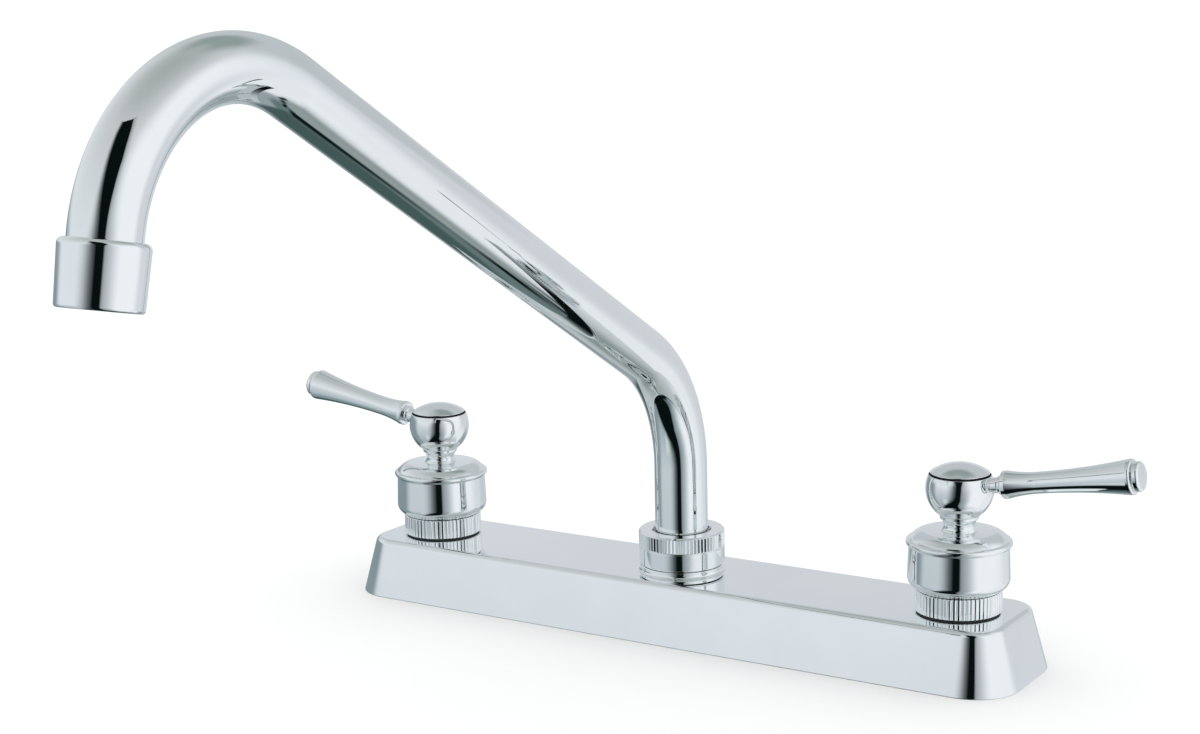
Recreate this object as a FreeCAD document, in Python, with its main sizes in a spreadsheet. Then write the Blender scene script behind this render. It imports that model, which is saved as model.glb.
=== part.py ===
import FreeCAD, Part
import math
import os
import re

import Sketcher
from FreeCAD import Placement, Rotation, Vector

# Two handle kitchen faucet for an 8 inch deck, millimetres.
# X runs along the deck plate (hot side at -X, cold side at +X), the spout points
# to -Y, Z is up. The origin lies in the deck plane, midway between the inlets.

doc = FreeCAD.newDocument("kitchen_faucet")
sheet = doc.addObject("Spreadsheet::Sheet", "Dimensions")

VALUES = [
    # deck plate
    ("inlet_spacing", 203.2),
    ("plate_height", 19.8),
    ("plate_foot_length", 253.4),
    ("plate_foot_width", 51.6),
    ("plate_foot_corner", 15.4),
    ("plate_slope", 15.25),
    ("plate_edge_round", 2.2),
    ("plate_wall", 1.8),
    ("plate_deck", 2.2),
    ("plate_boss_radius", 14.3),
    ("plate_boss_height", 2.1),
    ("side_hole_radius", 10.1),
    ("centre_hole_radius", 12.4),
    ("gasket_width", 4.0),
    ("gasket_thickness", 2.0),
    # waterway casting
    ("column_radius", 13.0),
    ("side_neck_radius", 9.8),
    ("side_neck_top", 30.8),
    ("centre_neck_radius", 12.1),
    ("centre_neck_top", 29.0),
    ("bar_radius", 5.3),
    ("bar_level", 12.0),
    ("channel_radius", 3.2),
    ("inlet_radius", 9.5),
    ("inlet_depth", 7.6),
    ("seat_level", 10.6),
    ("orifice_radius", 3.0),
    ("chamber_radius", 8.0),
    ("spout_bore_radius", 10.5),
    # flange rings
    ("ring_radius", 13.85),
    ("ring_bore_radius", 9.85),
    ("ring_top", 27.2),
    ("ring_flutes", 60),
    ("flute_depth", 0.24),
    ("flange_seal_radius", 13.2),
    ("flange_seal_height", 0.5),
    # cartridges
    ("barrel_radius", 7.0),
    ("barrel_bore", 6.3),
    ("barrel_foot", 12.6),
    ("thread_radius", 7.95),
    ("bonnet_boss_radius", 5.4),
    ("bonnet_top", 36.6),
    ("hex_flat_half", 8.4),
    ("hex_height", 3.2),
    ("stem_radius", 3.5),
    ("stem_bore", 3.6),
    ("stem_top", 53.0),
    ("disc_radius", 6.2),
    ("disc_thickness", 2.5),
    ("seal_height", 1.9),
    # handle hub
    ("ball_level", 59.9),
    ("ball_radius", 10.75),
    ("ball_top", 64.2),
    ("collar_radius", 6.15),
    ("collar_low", 50.0),
    ("waist_curve", 2.5),
    ("flare_radius", 5.45),
    ("flare_level", 46.6),
    ("dome_radius", 11.0),
    ("dome_level", 46.05),
    ("rim_radius", 16.75),
    ("rim_level", 43.4),
    ("groove_radius", 15.85),
    ("groove_level", 41.1),
    ("skirt_radius", 16.2),
    ("skirt_low", 30.9),
    ("lip_radius", 13.75),
    ("lip_level", 27.5),
    ("bell_bore", 13.9),
    ("bell_roof", 43.0),
    ("hub_boss_low", 38.0),
    ("recess_radius", 8.7),
    ("recess_level", 63.2),
    ("button_neck", 8.5),
    ("button_radius", 9.35),
    ("button_low", 64.75),
    ("button_edge", 64.95),
    ("button_dome", 3.0),
    ("screw_head_radius", 3.8),
    ("screw_radius", 1.95),
    # levers, measured from the middle of the ball along the lever
    ("lever_tilt", 10.0),
    ("boss_radius", 2.4),
    ("boss_end", 11.0),
    ("grip_start", 14.8),
    ("grip_end", 57.0),
    ("grip_root_radius", 4.4),
    ("grip_waist_radius", 3.4),
    ("grip_waist_at", 26.0),
    ("grip_tip_radius", 5.5),
    ("cap_radius", 4.6),
    ("cap_end", 59.6),
    ("stud_radius", 1.5),
    ("stud_bore", 1.6),
    # spout
    ("nut_radius", 14.6),
    ("nut_low", 22.2),
    ("nut_top", 33.9),
    ("knurl_low", 28.2),
    ("knurl_teeth", 72),
    ("knurl_depth", 0.46),
    ("nut_mouth", 9.9),
    ("nut_bore", 12.2),
    ("nut_lip_low", 31.4),
    ("tube_radius", 8.95),
    ("tube_wall", 1.1),
    ("tube_foot", 16.5),
    ("tube_rise_top", 55.7),
    ("lower_bend_radius", 49.7),
    ("lower_bend_angle", 59.75),
    ("tube_slope_length", 191.5),
    ("upper_bend_radius", 45.8),
    ("outlet_angle", 167.9),
    ("tube_tail", 6.4),
    ("collar_outer", 10.42),
    ("collar_flange", 11.7),
    # aerator, measured along the outlet from the end of the upper bend
    ("aerator_radius", 10.95),
    ("aerator_low_radius", 10.55),
    ("aerator_length", 16.9),
    ("aerator_bore", 9.6),
    ("aerator_mouth", 8.9),
]
for row, (alias, value) in enumerate(VALUES, 1):
    sheet.set("A%d" % row, alias.replace("_", " "))
    sheet.set("B%d" % row, str(value))
    sheet.setAlias("B%d" % row, alias)
doc.recompute()
NUMBERS = dict(VALUES)
NAMES = {
    "sqrt": math.sqrt,
    "cos": lambda a: math.cos(math.radians(a)),
    "sin": lambda a: math.sin(math.radians(a)),
    "tan": lambda a: math.tan(math.radians(a)),
}


class Calc:
    """A small reader for the arithmetic used in the bindings."""

    def __init__(self, text):
        self.parts = re.findall(r"[A-Za-z_]+|\d+\.?\d*|[-+*/()]", text)
        self.at = 0

    def peek(self):
        return self.parts[self.at] if self.at < len(self.parts) else None

    def take(self):
        self.at += 1
        return self.parts[self.at - 1]

    def total(self):
        value = self.term()
        while self.peek() in ("+", "-"):
            value = value + self.term() if self.take() == "+" else value - self.term()
        return value

    def term(self):
        value = self.factor()
        while self.peek() in ("*", "/"):
            value = value * self.factor() if self.take() == "*" else value / self.factor()
        return value

    def factor(self):
        word = self.take()
        if word == "-":
            return -self.factor()
        if word == "(":
            value = self.total()
            self.take()
            return value
        if word in NAMES:
            self.take()
            value = self.total()
            self.take()
            return NAMES[word](value)
        if word in NUMBERS:
            return NUMBERS[word]
        return float(word)


def num(size):
    return float(size) if isinstance(size, (int, float)) else Calc(size).total()


def cell(size):
    """The same arithmetic with each alias read from the sheet."""
    if isinstance(size, (int, float)):
        return None
    return re.sub(
        r"[A-Za-z_]+",
        lambda m: "Dimensions." + m.group(0) if m.group(0) in NUMBERS else m.group(0),
        size,
    )


def bind(thing, path, size):
    expression = cell(size)
    if expression is not None:
        thing.setExpression(path, expression)


NODES = []


def place(thing, base, turn_axis=None, turn=0):
    """Placement from bound coordinates and an optional bound turn."""
    x, y, z = base
    axis = turn_axis or Vector(0, 0, 1)
    thing.Placement = Placement(Vector(num(x), num(y), num(z)), Rotation(axis, num(turn)))
    for letter, size in zip("xyz", base):
        bind(thing, "Placement.Base." + letter, size)
    if turn_axis is not None:
        bind(thing, "Placement.Rotation.Angle", turn)


def origin_plane(body, role):
    return next(f for f in body.Origin.OriginFeatures if f.Role == role)


def new_body(label):
    body = doc.addObject("PartDesign::Body", "Body_" + label)
    body.Label = label
    NODES.append(body)
    return body


def new_sketch(body, name, role="XZ_Plane", lift=0):
    sketch = body.newObject("Sketcher::SketchObject", body.Label + "_" + name)
    sketch.AttachmentSupport = (origin_plane(body, role), [""])
    sketch.MapMode = "FlatFace"
    if lift != 0:
        sketch.AttachmentOffset = Placement(Vector(0, 0, num(lift)), Rotation())
        bind(sketch, "AttachmentOffset.Base.z", lift)
    return sketch


def fix_point(sketch, geo, pos, x, y):
    for kind, axis, size in (("DistanceX", -2, x), ("DistanceY", -1, y)):
        if isinstance(size, (int, float)) and size == 0:
            sketch.addConstraint(Sketcher.Constraint("PointOnObject", geo, pos, axis))
            continue
        index = sketch.addConstraint(Sketcher.Constraint(kind, -1, 1, geo, pos, num(size)))
        bind(sketch, "Constraints[%d]" % index, size)


def outline(sketch, points):
    """Closed outline of (x, y) or (x, y, radius) points. The radius bends the edge
    that leaves the point: positive turns left, negative turns right."""
    count = len(points)
    geos = []
    for i, point in enumerate(points):
        following = points[(i + 1) % count]
        a = Vector(num(point[0]), num(point[1]), 0)
        b = Vector(num(following[0]), num(following[1]), 0)
        if len(point) == 2:
            geos.append((sketch.addGeometry(Part.LineSegment(a, b)), 1, 2))
            continue
        radius = abs(num(point[2]))
        left = num(point[2]) > 0
        chord = b.sub(a)
        normal = Vector(-chord.y, chord.x, 0).normalize()
        rise = math.sqrt(max(radius**2 - (chord.Length / 2) ** 2, 0))
        centre = a.add(b).multiply(0.5).add(normal.multiply(rise if left else -rise))
        start, end = (a, b) if left else (b, a)
        first = math.atan2(start.y - centre.y, start.x - centre.x)
        last = math.atan2(end.y - centre.y, end.x - centre.x)
        while last < first:
            last += 2 * math.pi
        circle = Part.Circle(centre, Vector(0, 0, 1), radius)
        geo = sketch.addGeometry(Part.ArcOfCircle(circle, first, last))
        geos.append((geo, 1, 2) if left else (geo, 2, 1))
    for i, (geo, start, end) in enumerate(geos):
        after = geos[(i + 1) % count]
        sketch.addConstraint(Sketcher.Constraint("Coincident", geo, end, after[0], after[1]))
    for i, (geo, start, end) in enumerate(geos):
        fix_point(sketch, geo, start, points[i][0], points[i][1])
        if len(points[i]) == 3:
            size = points[i][2]
            index = sketch.addConstraint(Sketcher.Constraint("Radius", geo, abs(num(size))))
            if not isinstance(size, (int, float)):
                bind(sketch, "Constraints[%d]" % index, size.lstrip("-"))
    return geos


def circle(sketch, radius, x=0, y=0):
    geo = sketch.addGeometry(
        Part.Circle(Vector(num(x), num(y), 0), Vector(0, 0, 1), num(radius))
    )
    if x == 0 and y == 0:
        sketch.addConstraint(Sketcher.Constraint("Coincident", geo, 3, -1, 1))
    else:
        fix_point(sketch, geo, 3, x, y)
    index = sketch.addConstraint(Sketcher.Constraint("Radius", geo, num(radius)))
    bind(sketch, "Constraints[%d]" % index, radius)
    return geo


def rounded_box(sketch, length, width, corner):
    """Rounded rectangle centred on the origin, by its full sizes."""
    a, b, c = "(%s)/2" % length, "(%s)/2" % width, "(%s)" % corner
    outline(
        sketch,
        [
            ("-(%s-%s)" % (a, c), "-%s" % b),
            ("%s-%s" % (a, c), "-%s" % b, c),
            (a, "-(%s-%s)" % (b, c)),
            (a, "%s-%s" % (b, c), c),
            ("%s-%s" % (a, c), b),
            ("-(%s-%s)" % (a, c), b, c),
            ("-%s" % a, "%s-%s" % (b, c)),
            ("-%s" % a, "-(%s-%s)" % (b, c), c),
        ],
    )


def feature(body, kind, name):
    return body.newObject("PartDesign::" + kind, body.Label + "_" + name)


def turned(body, points, name="turning"):
    """Piece turned on a lathe: radius and height outline about the upright axis."""
    sketch = new_sketch(body, name + "_outline")
    outline(sketch, points)
    turning = feature(body, "Revolution", name)
    turning.Profile = sketch
    turning.ReferenceAxis = (sketch, ["V_Axis"])
    turning.Angle = 360.0
    return turning


def padded(body, sketch, length, name="pad", kind="Pad"):
    pad = feature(body, kind, name)
    pad.Profile = sketch
    pad.Length = num(length)
    bind(pad, "Length", length)
    return pad


def pocket_down(body, sketch, length, name):
    """Cut from the sketch towards -Z and check that it removes material."""
    doc.recompute()
    before = body.Shape.Volume
    cut = padded(body, sketch, length, name, "Pocket")
    cut.Reversed = False
    doc.recompute()
    if not body.Shape.Volume < before - 1e-3:
        cut.Reversed = True
        doc.recompute()
    assert body.Shape.Volume < before - 1e-3, (body.Label, name)
    return cut


def around(body, cut, count, name="pattern"):
    before = body.Shape.Volume
    pattern = feature(body, "PolarPattern", name)
    pattern.Originals = [cut]
    pattern.Axis = (cut.Profile[0], ["N_Axis"])
    pattern.Angle = 360.0
    pattern.Occurrences = int(num(count))
    bind(pattern, "Occurrences", count)
    body.Tip = pattern
    doc.recompute()
    assert body.Shape.Volume < before - 1e-3, (body.Label, name)
    return pattern


SIDES = (("hot", -1), ("cold", 1))


def side_x(sign):
    return "-inlet_spacing/2" if sign < 0 else "inlet_spacing/2"


# --- deck plate: hollow cover with sloping walls, a low round boss under the nut
plate = new_body("deck_plate")
foot = new_sketch(plate, "foot", "XY_Plane")
rounded_box(foot, "plate_foot_length", "plate_foot_width", "plate_foot_corner")
shell = padded(plate, foot, "plate_height", "shell")
shell.TaperAngle = -NUMBERS["plate_slope"]
bind(shell, "TaperAngle", "-plate_slope")
doc.recompute()
if shell.Shape.Volume > NUMBERS["plate_foot_length"] * NUMBERS["plate_foot_width"] * 18:
    shell.TaperAngle = NUMBERS["plate_slope"]
    bind(shell, "TaperAngle", "plate_slope")
    doc.recompute()
edges = []
for i, edge in enumerate(shell.Shape.Edges, 1):
    if all(abs(v.Z - NUMBERS["plate_height"]) < 1e-6 for v in edge.Vertexes):
        edges.append("Edge%d" % i)
rounding = feature(plate, "Fillet", "edge_round")
rounding.Base = (shell, edges)
rounding.Radius = NUMBERS["plate_edge_round"]
bind(rounding, "Radius", "plate_edge_round")
doc.recompute()
assert rounding.Shape.isValid()
solid_volume = plate.Shape.Volume

ROOF = "(plate_height-plate_deck)"
inner_foot = new_sketch(plate, "inner_foot", "XY_Plane")
rounded_box(
    inner_foot,
    "plate_foot_length-2*plate_wall",
    "plate_foot_width-2*plate_wall",
    "plate_foot_corner-plate_wall",
)
hollow = feature(plate, "Pocket", "hollow")
hollow.Profile = inner_foot
hollow.Length = num(ROOF)
bind(hollow, "Length", ROOF)
hollow.Reversed = True
hollow.TaperAngle = -NUMBERS["plate_slope"]
bind(hollow, "TaperAngle", "-plate_slope")
doc.recompute()
print("plate", round(solid_volume), "hollowed to", round(plate.Shape.Volume))
assert plate.Shape.Volume < 0.35 * solid_volume

turned(
    plate,
    [
        (11.0, "plate_height-0.6"),
        ("plate_boss_radius+1.2", "plate_height-0.6"),
        ("plate_boss_radius+1.2", "plate_height", "-1.2"),
        ("plate_boss_radius", "plate_height+1.2"),
        ("plate_boss_radius", "plate_height+plate_boss_height-0.3"),
        ("plate_boss_radius-0.3", "plate_height+plate_boss_height"),
        (11.0, "plate_height+plate_boss_height"),
    ],
    "boss",
)
holes = new_sketch(plate, "holes", "XY_Plane", "plate_height+plate_boss_height+1")
circle(holes, "centre_hole_radius")
circle(holes, "side_hole_radius", side_x(-1))
circle(holes, "side_hole_radius", side_x(1))
pocket_down(plate, holes, "plate_deck+plate_boss_height+2", "neck_holes")

# --- gasket: flat strip just inside the foot of the plate
gasket = new_body("deck_gasket")
strip = new_sketch(gasket, "strip", "XY_Plane")
rounded_box(
    strip,
    "plate_foot_length-2*plate_wall-1.4",
    "plate_foot_width-2*plate_wall-1.8",
    "plate_foot_corner-plate_wall-0.7",
)
rounded_box(
    strip,
    "plate_foot_length-2*plate_wall-1.4-2*gasket_width",
    "plate_foot_width-2*plate_wall-1.8-2*gasket_width",
    "plate_foot_corner-plate_wall-0.7-gasket_width",
)
padded(gasket, strip, "gasket_thickness")


# --- waterway: two valve columns and a spout column on one cross bar, in one casting
def cylinder(name, radius, height, base, along_x=False):
    rod = doc.addObject("Part::Cylinder", name)
    rod.Radius = num(radius)
    rod.Height = num(height)
    bind(rod, "Radius", radius)
    bind(rod, "Height", height)
    if along_x:
        place(rod, base, Vector(0, 1, 0), 90)
    else:
        place(rod, base)
    return rod


solids, voids = [], []
for side, sign in SIDES:
    x = side_x(sign)
    solids.append(cylinder(side + "_column", "column_radius", ROOF, (x, 0, 0)))
    solids.append(cylinder(side + "_neck", "side_neck_radius", "side_neck_top-1", (x, 0, 1)))
    voids.append(cylinder(side + "_inlet", "inlet_radius", "inlet_depth", (x, 0, 0)))
    voids.append(cylinder(side + "_orifice", "orifice_radius", "seat_level", (x, 0, 1)))
    voids.append(cylinder(side + "_chamber", "chamber_radius", "side_neck_top", (x, 0, "seat_level")))
solids.append(cylinder("spout_column", "column_radius", ROOF, (0, 0, 0)))
solids.append(cylinder("spout_neck", "centre_neck_radius", "centre_neck_top-1", (0, 0, 1)))
solids.append(
    cylinder("cross_bar", "bar_radius", "inlet_spacing", ("-inlet_spacing/2", 0, "bar_level"), True)
)
voids.append(cylinder("spout_bore", "spout_bore_radius", "centre_neck_top", (0, 0, "inlet_depth")))
voids.append(
    cylinder(
        "cross_channel",
        "channel_radius",
        "inlet_spacing-2*(chamber_radius-0.6)",
        ("-inlet_spacing/2+chamber_radius-0.6", 0, "bar_level"),
        True,
    )
)
casting = doc.addObject("Part::MultiFuse", "waterway_solid")
casting.Shapes = solids
channels = doc.addObject("Part::MultiFuse", "waterway_channels")
channels.Shapes = voids
waterway = doc.addObject("Part::Cut", "waterway")
waterway.Base = casting
waterway.Tool = channels
waterway.Label = "waterway_body"
NODES.append(waterway)

for side, sign in SIDES:
    x = side_x(sign)

    # flange seal: thin rubber washer between the plate and the flange ring
    washer = new_body(side + "_flange_seal")
    turned(
        washer,
        [
            ("side_neck_radius+0.1", "plate_height"),
            ("flange_seal_radius", "plate_height"),
            ("flange_seal_radius", "plate_height+flange_seal_height"),
            ("side_neck_radius+0.1", "plate_height+flange_seal_height"),
        ],
    )
    place(washer, (x, 0, 0))

    # flange ring: fluted clamp ring threaded on the neck
    FOOT = "plate_height+flange_seal_height"
    ring = new_body(side + "_flange_ring")
    turned(
        ring,
        [
            ("ring_bore_radius", FOOT),
            ("ring_radius-0.25", FOOT),
            ("ring_radius", FOOT + "+0.25"),
            ("ring_radius", "ring_top-0.3"),
            ("ring_radius-0.3", "ring_top"),
            ("ring_bore_radius", "ring_top"),
        ],
    )
    flute = new_sketch(ring, "flute", "XY_Plane", "ring_top+0.5")
    outline(
        flute,
        [
            ("ring_radius+0.1", -0.51),
            ("ring_radius+0.1", 0.51),
            ("ring_radius-flute_depth", 0.03),
            ("ring_radius-flute_depth", -0.03),
        ],
    )
    cut = pocket_down(ring, flute, "ring_top-plate_height-flange_seal_height", "flute_cut")
    around(ring, cut, "ring_flutes")
    place(ring, (x, 0, 0))

    # cartridge bonnet: barrel, thread, hexagon and boss round the stem
    bonnet = new_body(side + "_cartridge_bonnet")
    turned(
        bonnet,
        [
            ("barrel_bore", "barrel_foot"),
            ("barrel_radius", "barrel_foot"),
            ("barrel_radius", 20.6),
            ("thread_radius-0.4", 21.4),
            ("thread_radius", 21.8),
            ("thread_radius", "side_neck_top"),
            ("hex_flat_half/cos(30)+0.4", "side_neck_top"),
            ("hex_flat_half/cos(30)+0.4", "side_neck_top+hex_height"),
            ("bonnet_boss_radius", "side_neck_top+hex_height"),
            ("bonnet_boss_radius", "bonnet_top-0.5"),
            ("bonnet_boss_radius-0.5", "bonnet_top"),
            ("stem_bore", "bonnet_top"),
            ("stem_bore", 20.5),
            ("barrel_bore", 20.5),
        ],
    )
    # six flats, cut by slabs at the corners
    flats = new_sketch(bonnet, "flat", "XY_Plane", "side_neck_top+hex_height+0.01")
    outline(
        flats,
        [
            ("hex_flat_half", -7.0),
            ("hex_flat_half+4", -7.0),
            ("hex_flat_half+4", 7.0),
            ("hex_flat_half", 7.0),
        ],
    )
    cut = pocket_down(bonnet, flats, "hex_height", "flat_cut")
    around(bonnet, cut, 6, "flats")
    # windows that let water out of the barrel
    window = new_sketch(bonnet, "window", "XY_Plane", 19.5)
    outline(window, [(2.0, -2.2), (12.0, -2.2), (12.0, 2.2), (2.0, 2.2)])
    cut = pocket_down(bonnet, window, 3.2, "window_cut")
    around(bonnet, cut, 2, "windows")
    place(bonnet, (x, 0, 0))

    # seat seal and the fixed ceramic disc
    seal = new_body(side + "_seat_seal")
    turned(
        seal,
        [
            (3.1, "seat_level"),
            (5.9, "seat_level"),
            (5.9, "seat_level+seal_height"),
            (3.1, "seat_level+seal_height"),
        ],
    )
    place(seal, (x, 0, 0))

    fixed = new_body(side + "_fixed_disc")
    turned(
        fixed,
        [
            (0, "seat_level+seal_height+0.05"),
            ("disc_radius", "seat_level+seal_height+0.05"),
            ("disc_radius", "seat_level+seal_height+0.05+disc_thickness"),
            (0, "seat_level+seal_height+0.05+disc_thickness"),
        ],
    )
    port = new_sketch(fixed, "port", "XY_Plane", "seat_level+seal_height+disc_thickness+1")
    outline(port, [(-2.2, 1.0), (2.2, 1.0), (1.6, 3.0, 2.4), (-1.6, 3.0)])
    cut = pocket_down(fixed, port, "disc_thickness+2", "port_cut")
    around(fixed, cut, 2, "ports")
    place(fixed, (x, 0, 0))

    # turning disc, driven by the stem: its ports stand across the fixed ones when shut
    turning = new_body(side + "_turning_disc")
    LOW = "seat_level+seal_height+0.10+disc_thickness"
    turned(
        turning,
        [
            (0, LOW),
            ("disc_radius", LOW),
            ("disc_radius", LOW + "+disc_thickness"),
            (0, LOW + "+disc_thickness"),
        ],
    )
    port = new_sketch(turning, "port", "XY_Plane", LOW + "+disc_thickness+1")
    outline(port, [(1.0, -2.2), (3.0, -1.6, 2.4), (3.0, 1.6), (1.0, 2.2)])
    cut = pocket_down(turning, port, "disc_thickness+2", "port_cut")
    around(turning, cut, 2, "ports")
    place(turning, (x, 0, 0))

    # splined stem: drive flange, seal groove, splines and a tapped hole at the top
    stem = new_body(side + "_splined_stem")
    DRIVE = LOW + "+disc_thickness+0.05"
    turned(
        stem,
        [
            (0, DRIVE),
            ("disc_radius", DRIVE),
            ("disc_radius", DRIVE + "+2.2"),
            ("stem_radius", DRIVE + "+2.2"),
            ("stem_radius", 24.4),
            ("stem_radius-0.8", 24.4),
            ("stem_radius-0.8", 25.6),
            ("stem_radius", 25.6),
            ("stem_radius", "stem_top-0.4"),
            ("stem_radius-0.4", "stem_top"),
            (2.0, "stem_top"),
            (2.0, "stem_top-11"),
            (0, "stem_top-12.2"),
        ],
    )
    spline = new_sketch(stem, "spline", "XY_Plane", "stem_top+0.5")
    outline(
        spline,
        [
            ("stem_radius+0.3", -0.42),
            ("stem_radius+0.3", 0.42),
            ("stem_radius-0.45", 0.1),
            ("stem_radius-0.45", -0.1),
        ],
    )
    cut = pocket_down(stem, spline, 11.5, "spline_cut")
    around(stem, cut, 20, "splines")
    place(stem, (x, 0, 0))

    # stem seal ring in its groove
    ring_seal = doc.addObject("Part::Torus", side + "_stem_ring")
    ring_seal.Radius1 = num("stem_radius-0.35")
    bind(ring_seal, "Radius1", "stem_radius-0.35")
    ring_seal.Radius2 = 0.4
    ring_seal.Label = side + "_stem_seal"
    place(ring_seal, (x, 0, 25.0))
    NODES.append(ring_seal)

    # handle hub: bell skirt, waisted stem and flat topped ball in one casting
    hub = new_body(side + "_handle_hub")
    turned(
        hub,
        [
            ("stem_bore", "hub_boss_low"),
            ("stem_bore", "stem_top+0.6"),
            (2.15, "stem_top+0.6"),
            (2.15, "stem_top+2.6"),
            (4.3, "stem_top+2.6"),
            (4.3, "recess_level"),
            ("recess_radius", "recess_level"),
            ("recess_radius", "ball_top"),
            (
                "sqrt(ball_radius*ball_radius-(ball_top-ball_level)*(ball_top-ball_level))",
                "ball_top",
                "-ball_radius",
            ),
            (
                "collar_radius",
                "ball_level-sqrt(ball_radius*ball_radius-collar_radius*collar_radius)",
            ),
            ("collar_radius", "collar_low+0.25"),
            ("collar_radius-0.25", "collar_low", "waist_curve"),
            ("flare_radius", "flare_level"),
            ("flare_radius+0.1", "flare_level-0.2", 0.5),
            ("flare_radius+0.5", "dome_level+0.1"),
            (
                "dome_radius",
                "dome_level",
                "-(((rim_radius-1.15-dome_radius)*(rim_radius-1.15-dome_radius)"
                "+(dome_level-rim_level-0.1)*(dome_level-rim_level-0.1))"
                "/(2*(dome_level-rim_level-0.1)))",
            ),
            ("rim_radius-1.15", "rim_level+0.1"),
            ("rim_radius-0.85", "rim_level", -0.9),
            ("rim_radius", "rim_level-0.8"),
            ("rim_radius", "rim_level-1.1", -0.8),
            ("rim_radius-0.5", "rim_level-1.75", 0.8),
            ("groove_radius", "groove_level+0.1"),
            ("groove_radius", "groove_level-0.3"),
            ("skirt_radius", "skirt_low", -3.6),
            ("lip_radius+0.4", "lip_level+0.5"),
            ("lip_radius", "lip_level"),
            ("lip_radius-1.5", "lip_level"),
            ("lip_radius-1.5", "lip_level+1.0"),
            ("bell_bore", "skirt_low+0.4"),
            ("bell_bore", "bell_roof-1"),
            ("bell_bore-1", "bell_roof"),
            (5.9, "bell_roof"),
            (5.9, "hub_boss_low"),
        ],
    )
    # short boss on the ball where the lever screws in, and its tapped hole
    lean = Rotation(Vector(0, 1, 0), sign * (90 - NUMBERS["lever_tilt"]))
    for kind, name, radius, start, end in (
        ("AdditiveCylinder", "lever_boss", "boss_radius", 10.0, "boss_end"),
        ("SubtractiveCylinder", "lever_hole", "stud_bore", 5.6, "boss_end+1"),
    ):
        rod = feature(hub, kind, name)
        rod.AttachmentSupport = (origin_plane(hub, "XY_Plane"), [""])
        rod.MapMode = "FlatFace"
        rod.Radius = num(radius)
        bind(rod, "Radius", radius)
        rod.Height = num(end) - start
        bind(rod, "Height", "%s-%s" % (end, start))
        offset = lean.multVec(Vector(0, 0, start)).add(Vector(0, 0, NUMBERS["ball_level"]))
        rod.AttachmentOffset = Placement(offset, lean)
        doc.recompute()
    place(hub, (x, 0, 0))

    # handle screw under the button, with a hexagon socket
    screw = new_body(side + "_handle_screw")
    turned(
        screw,
        [
            (0, "stem_top-9"),
            ("screw_radius-0.4", "stem_top-9"),
            ("screw_radius", "stem_top-8.6"),
            ("screw_radius", "stem_top+2.65"),
            ("screw_head_radius", "stem_top+2.65"),
            ("screw_head_radius", "stem_top+4.8"),
            ("screw_head_radius-0.4", "stem_top+5.2"),
            (0, "stem_top+5.2"),
        ],
    )
    socket = new_sketch(screw, "socket", "XY_Plane", "stem_top+5.2")
    half = 1.25
    hexagon = [
        (
            round(half / math.cos(math.pi / 6) * math.cos(math.radians(60 * i + 5)), 4),
            round(half / math.cos(math.pi / 6) * math.sin(math.radians(60 * i + 5)), 4),
        )
        for i in range(6)
    ]
    outline(socket, hexagon)
    pocket_down(screw, socket, 1.8, "socket_cut")
    place(screw, (x, 0, 0))

    # button: domed cap with a spigot, closes the top of the ball over a narrow seam
    button = new_body(side + "_index_button")
    turned(
        button,
        [
            (0, "recess_level-1.2"),
            (4.15, "recess_level-1.2"),
            (4.15, "recess_level+0.02"),
            ("button_neck", "recess_level+0.02"),
            ("button_neck", "button_low"),
            ("button_radius", "button_low"),
            (
                "button_radius",
                "button_edge",
                "(button_radius*button_radius+button_dome*button_dome)/(2*button_dome)",
            ),
            (0, "button_edge+button_dome"),
        ],
    )
    place(button, (x, 0, 0))

    # lever: ferrule, grip, end cap and stud, each turned about the lever's own axis
    tilt = "%s(90-lever_tilt)" % ("-" if sign < 0 else "")
    ferrule = new_body(side + "_lever_ferrule")
    turned(
        ferrule,
        [
            ("stud_bore", "boss_end+0.02"),
            (2.5, "boss_end+0.02"),
            (2.5, "grip_start-1.7"),
            (3.0, "grip_start-1.2"),
            (3.0, "grip_start"),
            ("stud_bore", "grip_start"),
        ],
    )
    grip = new_body(side + "_lever_grip")
    turned(
        grip,
        [
            ("stud_bore", "grip_start+0.02"),
            ("grip_root_radius-0.35", "grip_start+0.02"),
            ("grip_root_radius", "grip_start+0.35"),
            (
                "grip_root_radius",
                "grip_start+1.6",
                "-(((grip_waist_at-grip_start-1.6)*(grip_waist_at-grip_start-1.6)"
                "+(grip_root_radius-grip_waist_radius)*(grip_root_radius-grip_waist_radius))"
                "/(2*(grip_root_radius-grip_waist_radius)))",
            ),
            (
                "grip_waist_radius",
                "grip_waist_at",
                "-(((grip_end-1.4-grip_waist_at)*(grip_end-1.4-grip_waist_at)"
                "+(grip_tip_radius-grip_waist_radius)*(grip_tip_radius-grip_waist_radius))"
                "/(2*(grip_tip_radius-grip_waist_radius)))",
            ),
            ("grip_tip_radius", "grip_end-1.4"),
            ("grip_tip_radius", "grip_end-0.7", 0.7),
            ("grip_tip_radius-0.7", "grip_end"),
            (2.0, "grip_end"),
            (2.0, "grip_end-6"),
            (0, "grip_end-6.6"),
            (0, "grip_start+11.2"),
            ("stud_bore", "grip_start+10"),
        ],
    )
    cap = new_body(side + "_lever_end_cap")
    turned(
        cap,
        [
            (0, "grip_end-5.6"),
            (1.95, "grip_end-5.6"),
            (1.95, "grip_end+0.02"),
            (4.1, "grip_end+0.02"),
            (4.1, "grip_end+0.35"),
            ("cap_radius-0.15", "grip_end+0.42"),
            ("cap_radius", "grip_end+0.6"),
            ("cap_radius", "cap_end-1.05", 0.9),
            ("cap_radius-0.8", "cap_end-0.25", "((cap_radius-0.8)*(cap_radius-0.8)+0.0625)/0.5"),
            (0, "cap_end"),
        ],
    )
    stud = new_body(side + "_lever_stud")
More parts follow.
